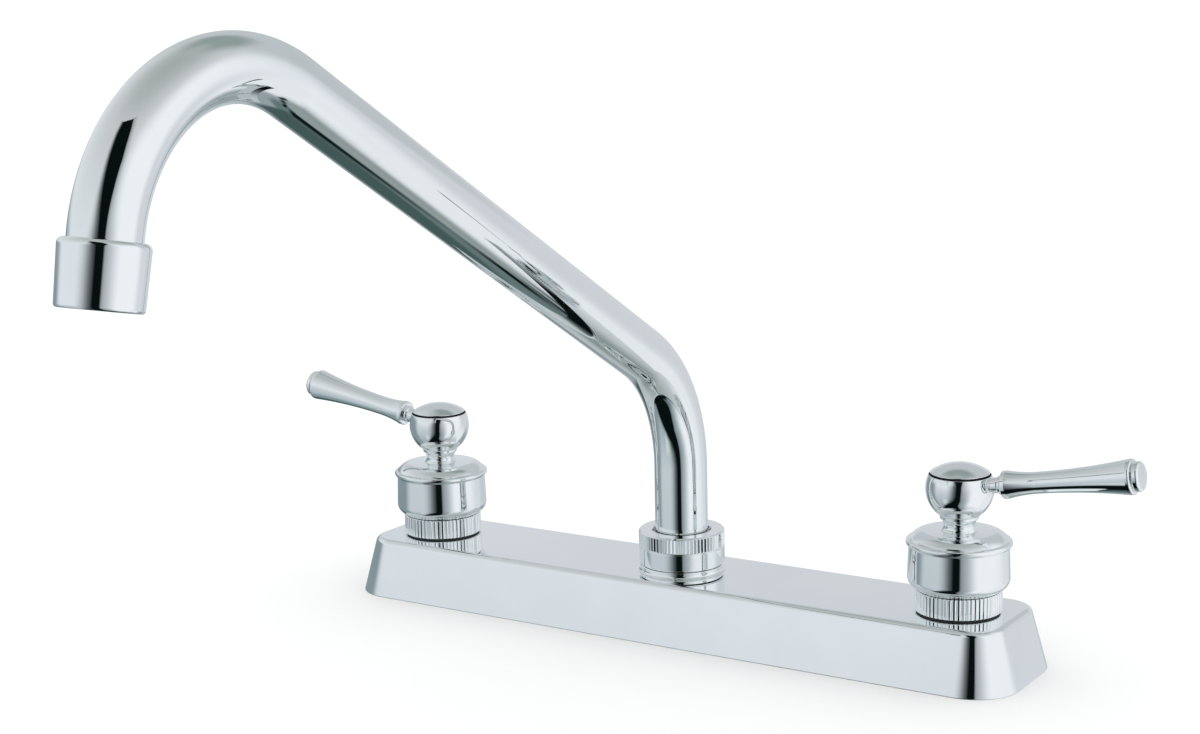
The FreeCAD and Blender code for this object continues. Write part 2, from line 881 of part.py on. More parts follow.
    turned(
        stud,
        [
            (0, 6.0),
            ("stud_radius-0.4", 6.0),
            ("stud_radius", 6.4),
            ("stud_radius", "grip_start+9.4"),
            ("stud_radius-0.4", "grip_start+9.8"),
            (0, "grip_start+9.8"),
        ],
    )
    for piece in (ferrule, grip, cap, stud):
        place(piece, (x, 0, "ball_level"), Vector(0, 1, 0), tilt)

# --- spout nut: knurled band above a plain band, clamps the swivel
nut = new_body("spout_nut")
turned(
    nut,
    [
        ("nut_bore", "nut_low"),
        ("nut_radius-0.4", "nut_low"),
        ("nut_radius", "nut_low+0.4"),
        ("nut_radius", "knurl_low-0.2"),
        ("nut_radius-0.25", "knurl_low"),
        ("nut_radius", "knurl_low+0.2"),
        ("nut_radius", "nut_top-0.5"),
        ("nut_radius-0.5", "nut_top"),
        ("nut_mouth+0.4", "nut_top"),
        ("nut_mouth", "nut_top-0.4"),
        ("nut_mouth", "nut_lip_low"),
        ("nut_bore", "nut_lip_low"),
    ],
)
tooth = new_sketch(nut, "tooth", "XY_Plane", "nut_top-0.5")
outline(
    tooth,
    [
        ("nut_radius+0.02", -0.62),
        ("nut_radius+0.02", 0.62),
        ("nut_radius-knurl_depth", 0.03),
        ("nut_radius-knurl_depth", -0.03),
    ],
)
cut = pocket_down(nut, tooth, "nut_top-0.5-knurl_low-0.3", "tooth_cut")
around(nut, cut, "knurl_teeth")

# --- spout tube: upright leg, bend, long slope, return bend, short outlet
tube = new_body("spout_tube")
spine = new_sketch(tube, "spine", "YZ_Plane")
SINE, COSINE = "sin(lower_bend_angle)", "cos(lower_bend_angle)"
BEND_REACH = "lower_bend_radius*(1-%s)" % COSINE
BEND_TOP = "tube_rise_top+lower_bend_radius*%s" % SINE
SLOPE_REACH = "%s+tube_slope_length*%s" % (BEND_REACH, SINE)
SLOPE_TOP = "%s+tube_slope_length*%s" % (BEND_TOP, COSINE)
END_REACH = "%s+upper_bend_radius*(%s-cos(outlet_angle))" % (SLOPE_REACH, COSINE)
END_LEVEL = "%s+upper_bend_radius*(sin(outlet_angle)-%s)" % (SLOPE_TOP, SINE)
TAIL_REACH = "%s+tube_tail*sin(outlet_angle)" % END_REACH
TAIL_LEVEL = "%s+tube_tail*cos(outlet_angle)" % END_LEVEL
route = [
    (0, "tube_foot"),
    (0, "tube_rise_top"),
    ("-(%s)" % BEND_REACH, BEND_TOP),
    ("-(%s)" % SLOPE_REACH, SLOPE_TOP),
    ("-(%s)" % END_REACH, END_LEVEL),
    ("-(%s)" % TAIL_REACH, TAIL_LEVEL),
]
spots = [Vector(num(a), num(b), 0) for a, b in route]


def bend(centre, radius, first, last):
    return Part.ArcOfCircle(
        Part.Circle(centre, Vector(0, 0, 1), radius), math.radians(first), math.radians(last)
    )


low_bend = NUMBERS["lower_bend_radius"]
high_bend = NUMBERS["upper_bend_radius"]
lower, upper = NUMBERS["lower_bend_angle"], NUMBERS["outlet_angle"]
low_centre = spots[1].sub(Vector(low_bend, 0, 0))
high_centre = spots[3].sub(
    Vector(math.cos(math.radians(lower)), math.sin(math.radians(lower)), 0).multiply(high_bend)
)
spine.addGeometry(Part.LineSegment(spots[0], spots[1]))
spine.addGeometry(bend(low_centre, low_bend, 0, lower))
spine.addGeometry(Part.LineSegment(spots[2], spots[3]))
spine.addGeometry(bend(high_centre, high_bend, lower, upper))
spine.addGeometry(Part.LineSegment(spots[4], spots[5]))
for i in range(4):
    spine.addConstraint(Sketcher.Constraint("Coincident", i, 2, i + 1, 1))
for i in range(5):
    fix_point(spine, i, 1, route[i][0], route[i][1])
fix_point(spine, 4, 2, route[5][0], route[5][1])
for i, size in ((1, "lower_bend_radius"), (3, "upper_bend_radius")):
    index = spine.addConstraint(Sketcher.Constraint("Radius", i, num(size)))
    bind(spine, "Constraints[%d]" % index, size)
ring_cut = new_sketch(tube, "section", "XY_Plane", "tube_foot")
circle(ring_cut, "tube_radius")
circle(ring_cut, "tube_radius-tube_wall")
sweep = feature(tube, "AdditivePipe", "sweep")
sweep.Profile = ring_cut
sweep.Spine = (spine, [])
doc.recompute()
run = (
    NUMBERS["tube_rise_top"]
    - NUMBERS["tube_foot"]
    + low_bend * math.radians(lower)
    + NUMBERS["tube_slope_length"]
    + high_bend * math.radians(upper - lower)
    + NUMBERS["tube_tail"]
)
outer = NUMBERS["tube_radius"]
inner = outer - NUMBERS["tube_wall"]
section = math.pi * (outer**2 - inner**2)
print("tube length", round(run, 1), "volume", round(tube.Shape.Volume), "of", round(run * section))
assert abs(tube.Shape.Volume / (run * section) - 1) < 0.01

# --- spout collar: sleeve on the foot of the tube, with a flange and two ring grooves
collar = new_body("spout_collar")
turned(
    collar,
    [
        ("tube_radius-tube_wall", "tube_foot-1.4"),
        ("collar_outer-0.5", "tube_foot-1.4"),
        ("collar_outer", "tube_foot-0.9"),
        ("collar_outer", 18.9),
        ("collar_outer-1.1", 18.9),
        ("collar_outer-1.1", 20.2),
        ("collar_outer", 20.2),
        ("collar_outer", 24.0),
        ("collar_outer-1.1", 24.0),
        ("collar_outer-1.1", 25.3),
        ("collar_outer", 25.3),
        ("collar_outer", "centre_neck_top+0.12"),
        ("collar_flange", "centre_neck_top+0.12"),
        ("collar_flange", "centre_neck_top+1.6"),
        ("tube_radius+0.005", "centre_neck_top+1.6"),
        ("tube_radius+0.005", "tube_foot-0.01"),
        ("tube_radius-tube_wall", "tube_foot-0.01"),
    ],
)

rings = []
for name, level in (("lower_ring", 19.55), ("upper_ring", 24.65)):
    torus = doc.addObject("Part::Torus", name)
    torus.Radius1 = num("collar_outer-0.51")
    bind(torus, "Radius1", "collar_outer-0.51")
    torus.Radius2 = 0.56
    place(torus, (0, 0, level))
    rings.append(torus)
pair = doc.addObject("Part::Compound", "ring_pair")
pair.Links = rings
pair.Label = "spout_seal_rings"
NODES.append(pair)

# --- swivel bush: slip ring between the collar's flange and the nut's lip
bush = new_body("swivel_bush")
turned(
    bush,
    [
        ("tube_radius+0.35", "centre_neck_top+1.75"),
        ("nut_bore-0.2", "centre_neck_top+1.75"),
        ("nut_bore-0.2", "nut_lip_low"),
        ("nut_mouth-0.1", "nut_lip_low"),
        ("nut_mouth-0.1", "nut_lip_low+0.9"),
        ("tube_radius+0.35", "nut_lip_low+0.9"),
    ],
)


# --- aerator pieces, turned about the outlet's axis
def at_outlet(piece):
    place(
        piece,
        (0, "-(%s)" % END_REACH, END_LEVEL),
        Vector(1, 0, 0),
        "outlet_angle",
    )


housing = new_body("aerator_housing")
turned(
    housing,
    [
        ("tube_radius+0.01", 0.5),
        ("aerator_radius-1.75", 0.5),
        ("aerator_radius-1.6", 0.55, 1.6),
        ("aerator_radius", 2.15),
        ("aerator_low_radius", "aerator_length-0.7", 0.8),
        ("aerator_low_radius-0.7", "aerator_length"),
        ("aerator_mouth", "aerator_length"),
        ("aerator_mouth", "aerator_length-1.2"),
        ("aerator_bore", "aerator_length-1.2"),
        ("aerator_bore", "tube_tail+0.1"),
        ("tube_radius+0.01", "tube_tail+0.1"),
    ],
)
washer = new_body("aerator_washer")
turned(
    washer,
    [
        ("tube_radius-tube_wall-0.8", "tube_tail+0.15"),
        ("aerator_bore-0.1", "tube_tail+0.15"),
        ("aerator_bore-0.1", "tube_tail+1.35"),
        ("tube_radius-tube_wall-0.8", "tube_tail+1.35"),
    ],
)
mesh = new_body("aerator_mesh")
turned(
    mesh,
    [
        (0, "tube_tail+1.4"),
        ("aerator_bore-0.15", "tube_tail+1.4"),
        ("aerator_bore-0.15", "tube_tail+1.9"),
        (0, "tube_tail+1.9"),
    ],
)
opening = new_sketch(mesh, "openings", "XY_Plane", "tube_tail+2.5")
for column in range(-5, 6):
    for line in range(-5, 6):
        if math.hypot(column * 1.3, line * 1.3) < 7.0:
            circle(opening, 0.45, round(column * 1.3, 3), round(line * 1.3, 3))
pocket_down(mesh, opening, 2.0, "opening_cut")
straightener = new_body("flow_straightener")
turned(
    straightener,
    [
        (0, "tube_tail+1.95"),
        ("aerator_bore-0.15", "tube_tail+1.95"),
        ("aerator_bore-0.15", "aerator_length-1.25"),
        (0, "aerator_length-1.25"),
    ],
)
cells = new_sketch(straightener, "cells", "XY_Plane", "aerator_length")
for column in range(-3, 4):
    for line in range(-4, 5):
        cx = column * 2.35 + (1.175 if line % 2 else 0.0)
        cy = line * 2.035
        if math.hypot(cx, cy) < 7.4:
            circle(cells, 0.95, round(cx, 3), round(cy, 3))
pocket_down(straightener, cells, 14.0, "cell_cut")
for piece in (housing, washer, mesh, straightener):
    at_outlet(piece)

doc.recompute()

for thing in doc.Objects:
    state = list(thing.State)
    assert "Invalid" not in state and "Error" not in state, (thing.Name, state)
labels = [node.Label for node in NODES]
assert len(set(labels)) == len(labels) <= 60
for node in NODES:
    shape = node.Shape
    assert not shape.isNull() and shape.isValid(), node.Label
    assert len(shape.Solids) == (2 if node.Label == "spout_seal_rings" else 1), node.Label

os.makedirs("parts", exist_ok=True)
for node in NODES:
    node.Shape.exportStep("parts/%s.step" % node.Label)
print(len(NODES), "nodes written")
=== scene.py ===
import math

import bmesh
import bpy
import numpy as np
from mathutils import Matrix, Vector


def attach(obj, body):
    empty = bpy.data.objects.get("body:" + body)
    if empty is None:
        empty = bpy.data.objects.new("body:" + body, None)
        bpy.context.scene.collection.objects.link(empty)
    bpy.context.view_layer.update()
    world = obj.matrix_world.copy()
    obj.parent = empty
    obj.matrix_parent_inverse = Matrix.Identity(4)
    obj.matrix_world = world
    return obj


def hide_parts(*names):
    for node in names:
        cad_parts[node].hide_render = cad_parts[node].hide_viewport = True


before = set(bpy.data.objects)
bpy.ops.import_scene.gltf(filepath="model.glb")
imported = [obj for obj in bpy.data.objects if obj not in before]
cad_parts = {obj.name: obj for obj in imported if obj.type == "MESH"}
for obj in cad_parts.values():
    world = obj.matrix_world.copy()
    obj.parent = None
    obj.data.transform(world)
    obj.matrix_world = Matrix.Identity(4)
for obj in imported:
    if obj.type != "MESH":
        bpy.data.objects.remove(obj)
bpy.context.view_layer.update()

MM = 0.001
scene = bpy.context.scene


# ---------------------------------------------------------------------------
# outlines: closed lists of (x, y) or (x, y, radius) in millimetres; the radius
# bends the edge that leaves the point, positive turning left


def unit(v):
    return v / max(float(np.linalg.norm(v)), 1e-12)


def edge_list(points, step):
    """Outline as short edges (start, end, normal at start, normal at end)."""
    spots = [np.array(p[:2], float) for p in points]
    count = len(spots)
    area = sum(
        spots[i][0] * spots[(i + 1) % count][1] - spots[(i + 1) % count][0] * spots[i][1]
        for i in range(count)
    )
    side = 1.0 if area < 0 else -1.0
    edges = []
    for i, p in enumerate(points):
        a, b = spots[i], spots[(i + 1) % count]
        chord = b - a
        length = float(np.linalg.norm(chord))
        if length < 1e-7:
            continue
        left = np.array([-chord[1], chord[0]]) / length
        if len(p) == 2 or not p[2]:
            edges.append((a, b, side * left, side * left))
            continue
        radius, turns_left = abs(p[2]), p[2] > 0
        rise = math.sqrt(max(radius**2 - (length / 2) ** 2, 0.0))
        centre = (a + b) / 2 + left * (rise if turns_left else -rise)
        first = math.atan2(*(a - centre)[::-1])
        last = math.atan2(*(b - centre)[::-1])
        if turns_left and last < first:
            last += 2 * math.pi
        if not turns_left and last > first:
            last -= 2 * math.pi
        parts = max(3, math.ceil(abs(last - first) / math.radians(step)))
        turn = [first + (last - first) * k / parts for k in range(parts + 1)]
        way = [np.array([math.cos(t), math.sin(t)]) for t in turn]
        out = -side if turns_left else side
        for k in range(parts):
            edges.append(
                (centre + radius * way[k], centre + radius * way[k + 1], out * way[k], out * way[k + 1])
            )
    return edges, side


def eased(edges, size, sharp=14.0, keep=()):
    """Rounds each corner of the outline off by a small arc, as polishing and plating do."""
    count = len(edges)
    cut = []
    for i in range(count):
        a, b = edges[i], edges[(i + 1) % count]
        p = a[1]
        dot = float(np.clip(a[3] @ b[2], -1, 1))
        turn = math.acos(dot)
        held = any(math.hypot(p[0] - k[0], p[1] - k[1]) < 1e-6 for k in keep)
        if held or p[0] < 1e-6 or math.degrees(turn) < sharp:
            cut.append(None)
            continue
        la, lb = np.linalg.norm(a[1] - a[0]), np.linalg.norm(b[1] - b[0])
        half = math.tan(min(turn, 3.0) / 2)
        reach = min(size * half, 0.42 * la, 0.42 * lb)
        cut.append((reach, reach / half, turn))
    out = []
    for i in range(count):
        a = edges[i]
        length = float(np.linalg.norm(a[1] - a[0]))
        way = (a[1] - a[0]) / length
        before, after = cut[i - 1], cut[i]
        s = before[0] / length if before else 0.0
        e = after[0] / length if after else 0.0
        start, end = a[0] + way * length * s, a[1] - way * length * e
        ns = unit(a[2] * (1 - s) + a[3] * s)
        ne = unit(a[2] * e + a[3] * (1 - e))
        out.append((start, end, ns, ne))
        if after:
            b = edges[(i + 1) % count]
            lb = float(np.linalg.norm(b[1] - b[0]))
            t = after[0] / lb
            n0, n1 = ne, unit(b[2] * (1 - t) + b[3] * t)
            q0, q1 = end, b[0] + (b[1] - b[0]) * t
            angle = math.acos(float(np.clip(n0 @ n1, -1, 1)))
            parts = max(2, math.ceil(math.degrees(angle) / 18))
            turn_way = 1.0 if n0[0] * n1[1] - n0[1] * n1[0] > 0 else -1.0
            normals = []
            for k in range(parts + 1):
                w = turn_way * angle * k / parts
                c, d = math.cos(w), math.sin(w)
                normals.append(np.array([n0[0] * c - n0[1] * d, n0[0] * d + n0[1] * c]))
            chord = float(np.linalg.norm(q1 - q0))
            radius = chord / max(2 * math.sin(angle / 2), 1e-9)
            outward = 1.0 if (q1 - q0) @ (n1 - n0) > 0 else -1.0
            centre = (q0 - outward * radius * n0 + q1 - outward * radius * n1) / 2
            spots = [centre + outward * radius * n for n in normals]
            spots[0], spots[-1] = q0, q1
            for k in range(parts):
                out.append((spots[k], spots[k + 1], normals[k], normals[k + 1]))
    return out


def finished(name, verts, faces, normals, materials, face_slots=None):
    """Mesh object with exact normals, in metres."""
    mesh = bpy.data.meshes.new(name)
    mesh.from_pydata((np.asarray(verts) * MM).tolist(), [], faces)
    for m in materials if isinstance(materials, (list, tuple)) else [materials]:
        mesh.materials.append(m)
    mesh.polygons.foreach_set("use_smooth", [True] * len(mesh.polygons))
    if face_slots is not None:
        mesh.polygons.foreach_set("material_index", face_slots)
    mesh.validate(clean_customdata=False)
    if normals is not None:
        mesh.normals_split_custom_set(np.asarray(normals, float).tolist())
    mesh.update()
    obj = bpy.data.objects.new(name, mesh)
    scene.collection.objects.link(obj)
    return obj


def swept_outline(edges, side, track, closed_track=True, wave=None, band=None):
    """Carries an outline round a track. A track station is (base x, base y, angle): the
    outline's x runs outward from the base along the angle, and its y is the height.
    wave(station) gives (lift, slope before, slope after) for a fluted band, and
    band(x, y) says how much of it an outline point takes."""
    on_axis = lambda p: abs(p[0]) < 1e-6
    edges = [e for e in edges if not (on_axis(e[0]) and on_axis(e[1]))]
    starts = [
        i
        for i in range(len(edges))
        if np.linalg.norm(edges[i][0] - edges[i - 1][1]) > 1e-6
    ]
    if starts:
        edges = edges[starts[0]:] + edges[: starts[0]]
    spots = [e[0] for e in edges]
    if starts:
        spots.append(edges[-1][1])
    n_spots, n_track = len(spots), len(track)
    base = np.array([t[:2] for t in track], float)
    angle = np.array([t[2] for t in track], float)
    ray = np.stack([np.cos(angle), np.sin(angle)], 1)
    lift = np.zeros(n_track)
    slope_in = np.zeros(n_track)
    if wave is not None:
        lift, slope_in = wave(angle)
    shares = [band(*p) if band else 0.0 for p in spots]
    verts, first, single = [], [], []
    for p, share in zip(spots, shares):
        first.append(len(verts))
        pole = on_axis(p) and np.ptp(base, 0).max() < 1e-9
        single.append(pole)
        if pole:
            verts.append((base[0][0], base[0][1], p[1]))
            continue
        reach = p[0] + share * lift
        for j in range(n_track):
            verts.append((base[j][0] + ray[j][0] * reach[j], base[j][1] + ray[j][1] * reach[j], p[1]))
    faces, normals = [], []
    steps = range(n_track if closed_track else n_track - 1)
    for k, (a, b, na, nb) in enumerate(edges):
        i, i2 = k, (k + 1) % n_spots
        length = float(np.linalg.norm(b - a))
        climb = (shares[i2] - shares[i]) / max(length, 1e-9)
        tilt = []
        for normal, share, r in ((na, shares[i], a[0]), (nb, shares[i2], b[0])):
            size = np.full(n_track, normal[0])
            around = -normal[0] * share * slope_in / np.maximum(r + share * lift, 1e-6)
            up = normal[1] + side * climb * lift
            full = np.stack(
                [
                    size * ray[:, 0] - around * ray[:, 1],
                    size * ray[:, 1] + around * ray[:, 0],
                    np.broadcast_to(up, (n_track,)),
                ],
                1,
            )
            full /= np.maximum(np.linalg.norm(full, axis=1, keepdims=True), 1e-9)
            tilt.append(full)
        for j in steps:
            j2 = (j + 1) % n_track
            corner = [(i, j, 0), (i2, j, 1), (i2, j2, 1), (i, j2, 0)]
            if single[i]:
                corner = [(i, j, 0), (i2, j, 1), (i2, j2, 1)]
            elif single[i2]:
                corner = [(i, j, 0), (i2, j, 1), (i, j2, 0)]
            if side < 0:
                corner.reverse()
            faces.append([first[s] + (0 if single[s] else t) for s, t, _ in corner])
            for s, t, end in corner:
                normals.append(tilt[end][t])
    return verts, faces, normals


def ring_track(count, start=0.0):
    return [(0.0, 0.0, start + 2 * math.pi * j / count) for j in range(count)]


def turned(name, outline, material, where=None, count=144, ease=0.12, step=4.0, **more):
    """Turned piece about the upright axis, then put in place by a rigid matrix (mm)."""
    edges, side = edge_list(outline, step)
    if ease:
        edges = eased(edges, ease)
    verts, faces, normals = swept_outline(edges, side, ring_track(count), **more)
    return placed(name, verts, faces, normals, material, where)


def placed(name, verts, faces, normals, material, where=None):
    verts, normals = np.array(verts, float), np.array(normals, float)
    if where is not None:
        m = np.array(where, float)
        verts = verts @ m[:3, :3].T + m[:3, 3]
        normals = normals @ m[:3, :3].T
    return finished(name, verts, faces, normals, material)


def faces_in(obj, material, test):
    """Gives the faces whose middle passes the test (millimetres) a second material."""
    obj.data.materials.append(material)
    for face in obj.data.polygons:
        if test(*(face.center / MM)):
            face.material_index = 1


def shift(x, y, z):
    return Matrix.Translation((x, y, z))


def stands_for(obj, node, body):
    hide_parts(node)
    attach(obj, body)
    return obj


# ---------------------------------------------------------------------------
# materials


class Nodes:
    """Short way to lay out a node material."""

    def __init__(self, name):
        self.material = bpy.data.materials.new(name)
        self.material.use_nodes = True
        self.tree = self.material.node_tree
        self.tree.nodes.clear()
        self.out = self.add("ShaderNodeOutputMaterial")
        self.shader = self.add("ShaderNodeBsdfPrincipled")
        self.link(self.shader.outputs[0], self.out.inputs[0])
        self.where = self.add("ShaderNodeTexCoord").outputs["Object"]

    def add(self, kind, **settings):
        node = self.tree.nodes.new(kind)
        for key, value in settings.items():
            setattr(node, key, value)
        return node

    def link(self, a, b):
        self.tree.links.new(a, b)

    def noise(self, scale, detail=3.0, rough=0.55, stretch=None):
        node = self.add("ShaderNodeTexNoise")
        node.inputs["Scale"].default_value = scale
        node.inputs["Detail"].default_value = detail
        node.inputs["Roughness"].default_value = rough
        source = self.where
        if stretch:
            scaled = self.add("ShaderNodeMapping")
            scaled.inputs["Scale"].default_value = stretch
            self.link(source, scaled.inputs["Vector"])
            source = scaled.outputs["Vector"]
        self.link(source, node.inputs["Vector"])
        return node.outputs["Fac"]

    def ramp(self, source, low, high, a, b):
        node = self.add("ShaderNodeMapRange")
        for key, value in (("From Min", low), ("From Max", high), ("To Min", a), ("To Max", b)):
            node.inputs[key].default_value = value
        self.link(source, node.inputs["Value"])
        return node.outputs["Result"]

    def colours(self, source, stops):
        node = self.add("ShaderNodeValToRGB")
        bar = node.color_ramp.elements
        while len(bar) < len(stops):
            bar.new(0.5)
        for element, (at, colour) in zip(bar, stops):
            element.position = at
            element.color = (*colour, 1.0)
        self.link(source, node.inputs["Fac"])
        return node.outputs["Color"]

    def math(self, kind, a, b):
        node = self.add("ShaderNodeMath", operation=kind)
        for k, v in enumerate((a, b)):
            if isinstance(v, (int, float)):
                node.inputs[k].default_value = v
            else:
                self.link(v, node.inputs[k])
        return node.outputs[0]

    def bump(self, height, strength, distance):
        node = self.add("ShaderNodeBump")
        node.inputs["Strength"].default_value = strength
        node.inputs["Distance"].default_value = distance
        self.link(height, node.inputs["Height"])
        self.link(node.outputs["Normal"], self.shader.inputs["Normal"])

    def set(self, key, value):
        self.shader.inputs[key].default_value = value

    def feed(self, key, source):
        self.link(source, self.shader.inputs[key])


def chrome(name, tint=(0.90, 0.92, 0.925), dim=(0.865, 0.895, 0.90), low=0.025, high=0.055, wave=0.0):
    """Bright chrome plate: a cool mirror with faint haze, polishing marks and plating waviness."""
    n = Nodes(name)
    n.set("Metallic", 1.0)
    cloud = n.noise(38.0, 4.0, 0.6)
    n.feed("Base Color", n.colours(cloud, [(0.32, dim), (0.68, tint)]))
    haze = n.noise(95.0, 5.0, 0.62)
    marks = n.noise(900.0, 2.0, 0.5, stretch=(1.0, 1.0, 0.08))
    both = n.math("ADD", n.math("MULTIPLY", haze, 0.8), n.math("MULTIPLY", marks, 0.2))
    n.feed("Roughness", n.ramp(both, 0.34, 0.68, low, high))
    if wave:
        n.bump(n.noise(70.0, 1.0, 0.4), wave, 0.0004)
    return n.material


def brass(name):
    n = Nodes(name)
    n.set("Metallic", 1.0)
    cloud = n.noise(60.0, 6.0, 0.65)
    n.feed(
        "Base Color",
        n.colours(cloud, [(0.3, (0.52, 0.37, 0.17)), (0.5, (0.70, 0.53, 0.27)), (0.72, (0.80, 0.64, 0.36))]),
    )
    n.feed("Roughness", n.ramp(n.noise(240.0, 5.0, 0.6), 0.3, 0.7, 0.26, 0.46))
    n.bump(n.noise(1400.0, 3.0, 0.6), 0.25, 0.0001)
    return n.material


def steel(name):
    n = Nodes(name)
    n.set("Metallic", 1.0)
    n.feed("Base Color", n.colours(n.noise(90.0, 4.0), [(0.3, (0.50, 0.51, 0.52)), (0.7, (0.66, 0.67, 0.68))]))
    n.feed("Roughness", n.ramp(n.noise(700.0, 4.0, 0.6, stretch=(1, 1, 0.1)), 0.3, 0.7, 0.2, 0.38))
    return n.material


def rubber(name):
    n = Nodes(name)
    n.feed("Base Color", n.colours(n.noise(160.0, 4.0), [(0.3, (0.012, 0.012, 0.013)), (0.75, (0.035, 0.035, 0.037))]))
    n.feed("Roughness", n.ramp(n.noise(320.0, 4.0), 0.3, 0.7, 0.55, 0.8))
    n.bump(n.noise(1800.0, 3.0), 0.2, 0.0001)
    return n.material


def ceramic(name):
    n = Nodes(name)
    n.feed("Base Color", n.colours(n.noise(120.0, 4.0), [(0.3, (0.80, 0.79, 0.75)), (0.7, (0.90, 0.89, 0.86))]))
    n.feed("Roughness", n.ramp(n.noise(500.0, 3.0), 0.3, 0.7, 0.16, 0.3))
    return n.material


def plastic(name):
    n = Nodes(name)
    n.feed("Base Color", n.colours(n.noise(140.0, 3.0), [(0.3, (0.72, 0.72, 0.70)), (0.7, (0.80, 0.80, 0.78))]))
    n.feed("Roughness", n.ramp(n.noise(260.0, 4.0), 0.3, 0.7, 0.36, 0.52))
    n.bump(n.noise(1500.0, 3.0), 0.15, 0.00008)
    return n.material


def painted_seam_shade(name):
    """Painted shade for the seam under a button: a near-black colour in place of the shade in the gap, dull, with a
    faint random mottle.
    """
    n = Nodes(name)
    n.feed("Base Color", n.colours(n.noise(420.0, 4.0), [(0.3, (0.010, 0.012, 0.012)), (0.75, (0.028, 0.030, 0.030))]))
    n.feed("Roughness", n.ramp(n.noise(600.0, 3.0), 0.3, 0.7, 0.6, 0.85))
    n.bump(n.noise(2200.0, 3.0), 0.2, 0.00008)
    return n.material


CHROME = chrome("chrome_plate")
CHROME_CAST = chrome("chrome_plate_on_casting", wave=0.02)
CHROME_TUBE = chrome("chrome_plate_on_tube", low=0.02, high=0.045)
# near-black painted shade for the seams round the index buttons
SEAM_SHADE = painted_seam_shade("bare_seam_sides")
BRASS, STEEL, RUBBER = brass("yellow_brass"), steel("stainless_steel"), rubber("black_rubber")
CERAMIC, PLASTIC = ceramic("lapped_ceramic"), plastic("white_acetal")

INNER = {
    "waterway_body": BRASS,
    "cartridge_bonnet": BRASS,
    "splined_stem": BRASS,
    "spout_collar": BRASS,
    "handle_screw": STEEL,
    "lever_stud": STEEL,
    "aerator_mesh": STEEL,
    "fixed_disc": CERAMIC,
    "turning_disc": CERAMIC,
    "deck_gasket": RUBBER,
    "seat_seal": RUBBER,
    "stem_seal": RUBBER,
    "flange_seal": RUBBER,
    "spout_seal_rings": RUBBER,
    "aerator_washer": RUBBER,
    "swivel_bush": PLASTIC,
    "flow_straightener": PLASTIC,
}
for label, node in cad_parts.items():
    base = label.replace("hot_", "").replace("cold_", "")
    finish = INNER.get(base, CHROME)
    node.data.materials.clear()
    node.data.materials.append(finish)

# ---------------------------------------------------------------------------
# sizes that follow the CAD, in millimetres

HALF_SPACING = 101.6
PLATE_H, SLOPE = 19.8, math.radians(15.25)
BALL_Z, BALL_R, BALL_TOP = 59.9, 10.75, 64.2


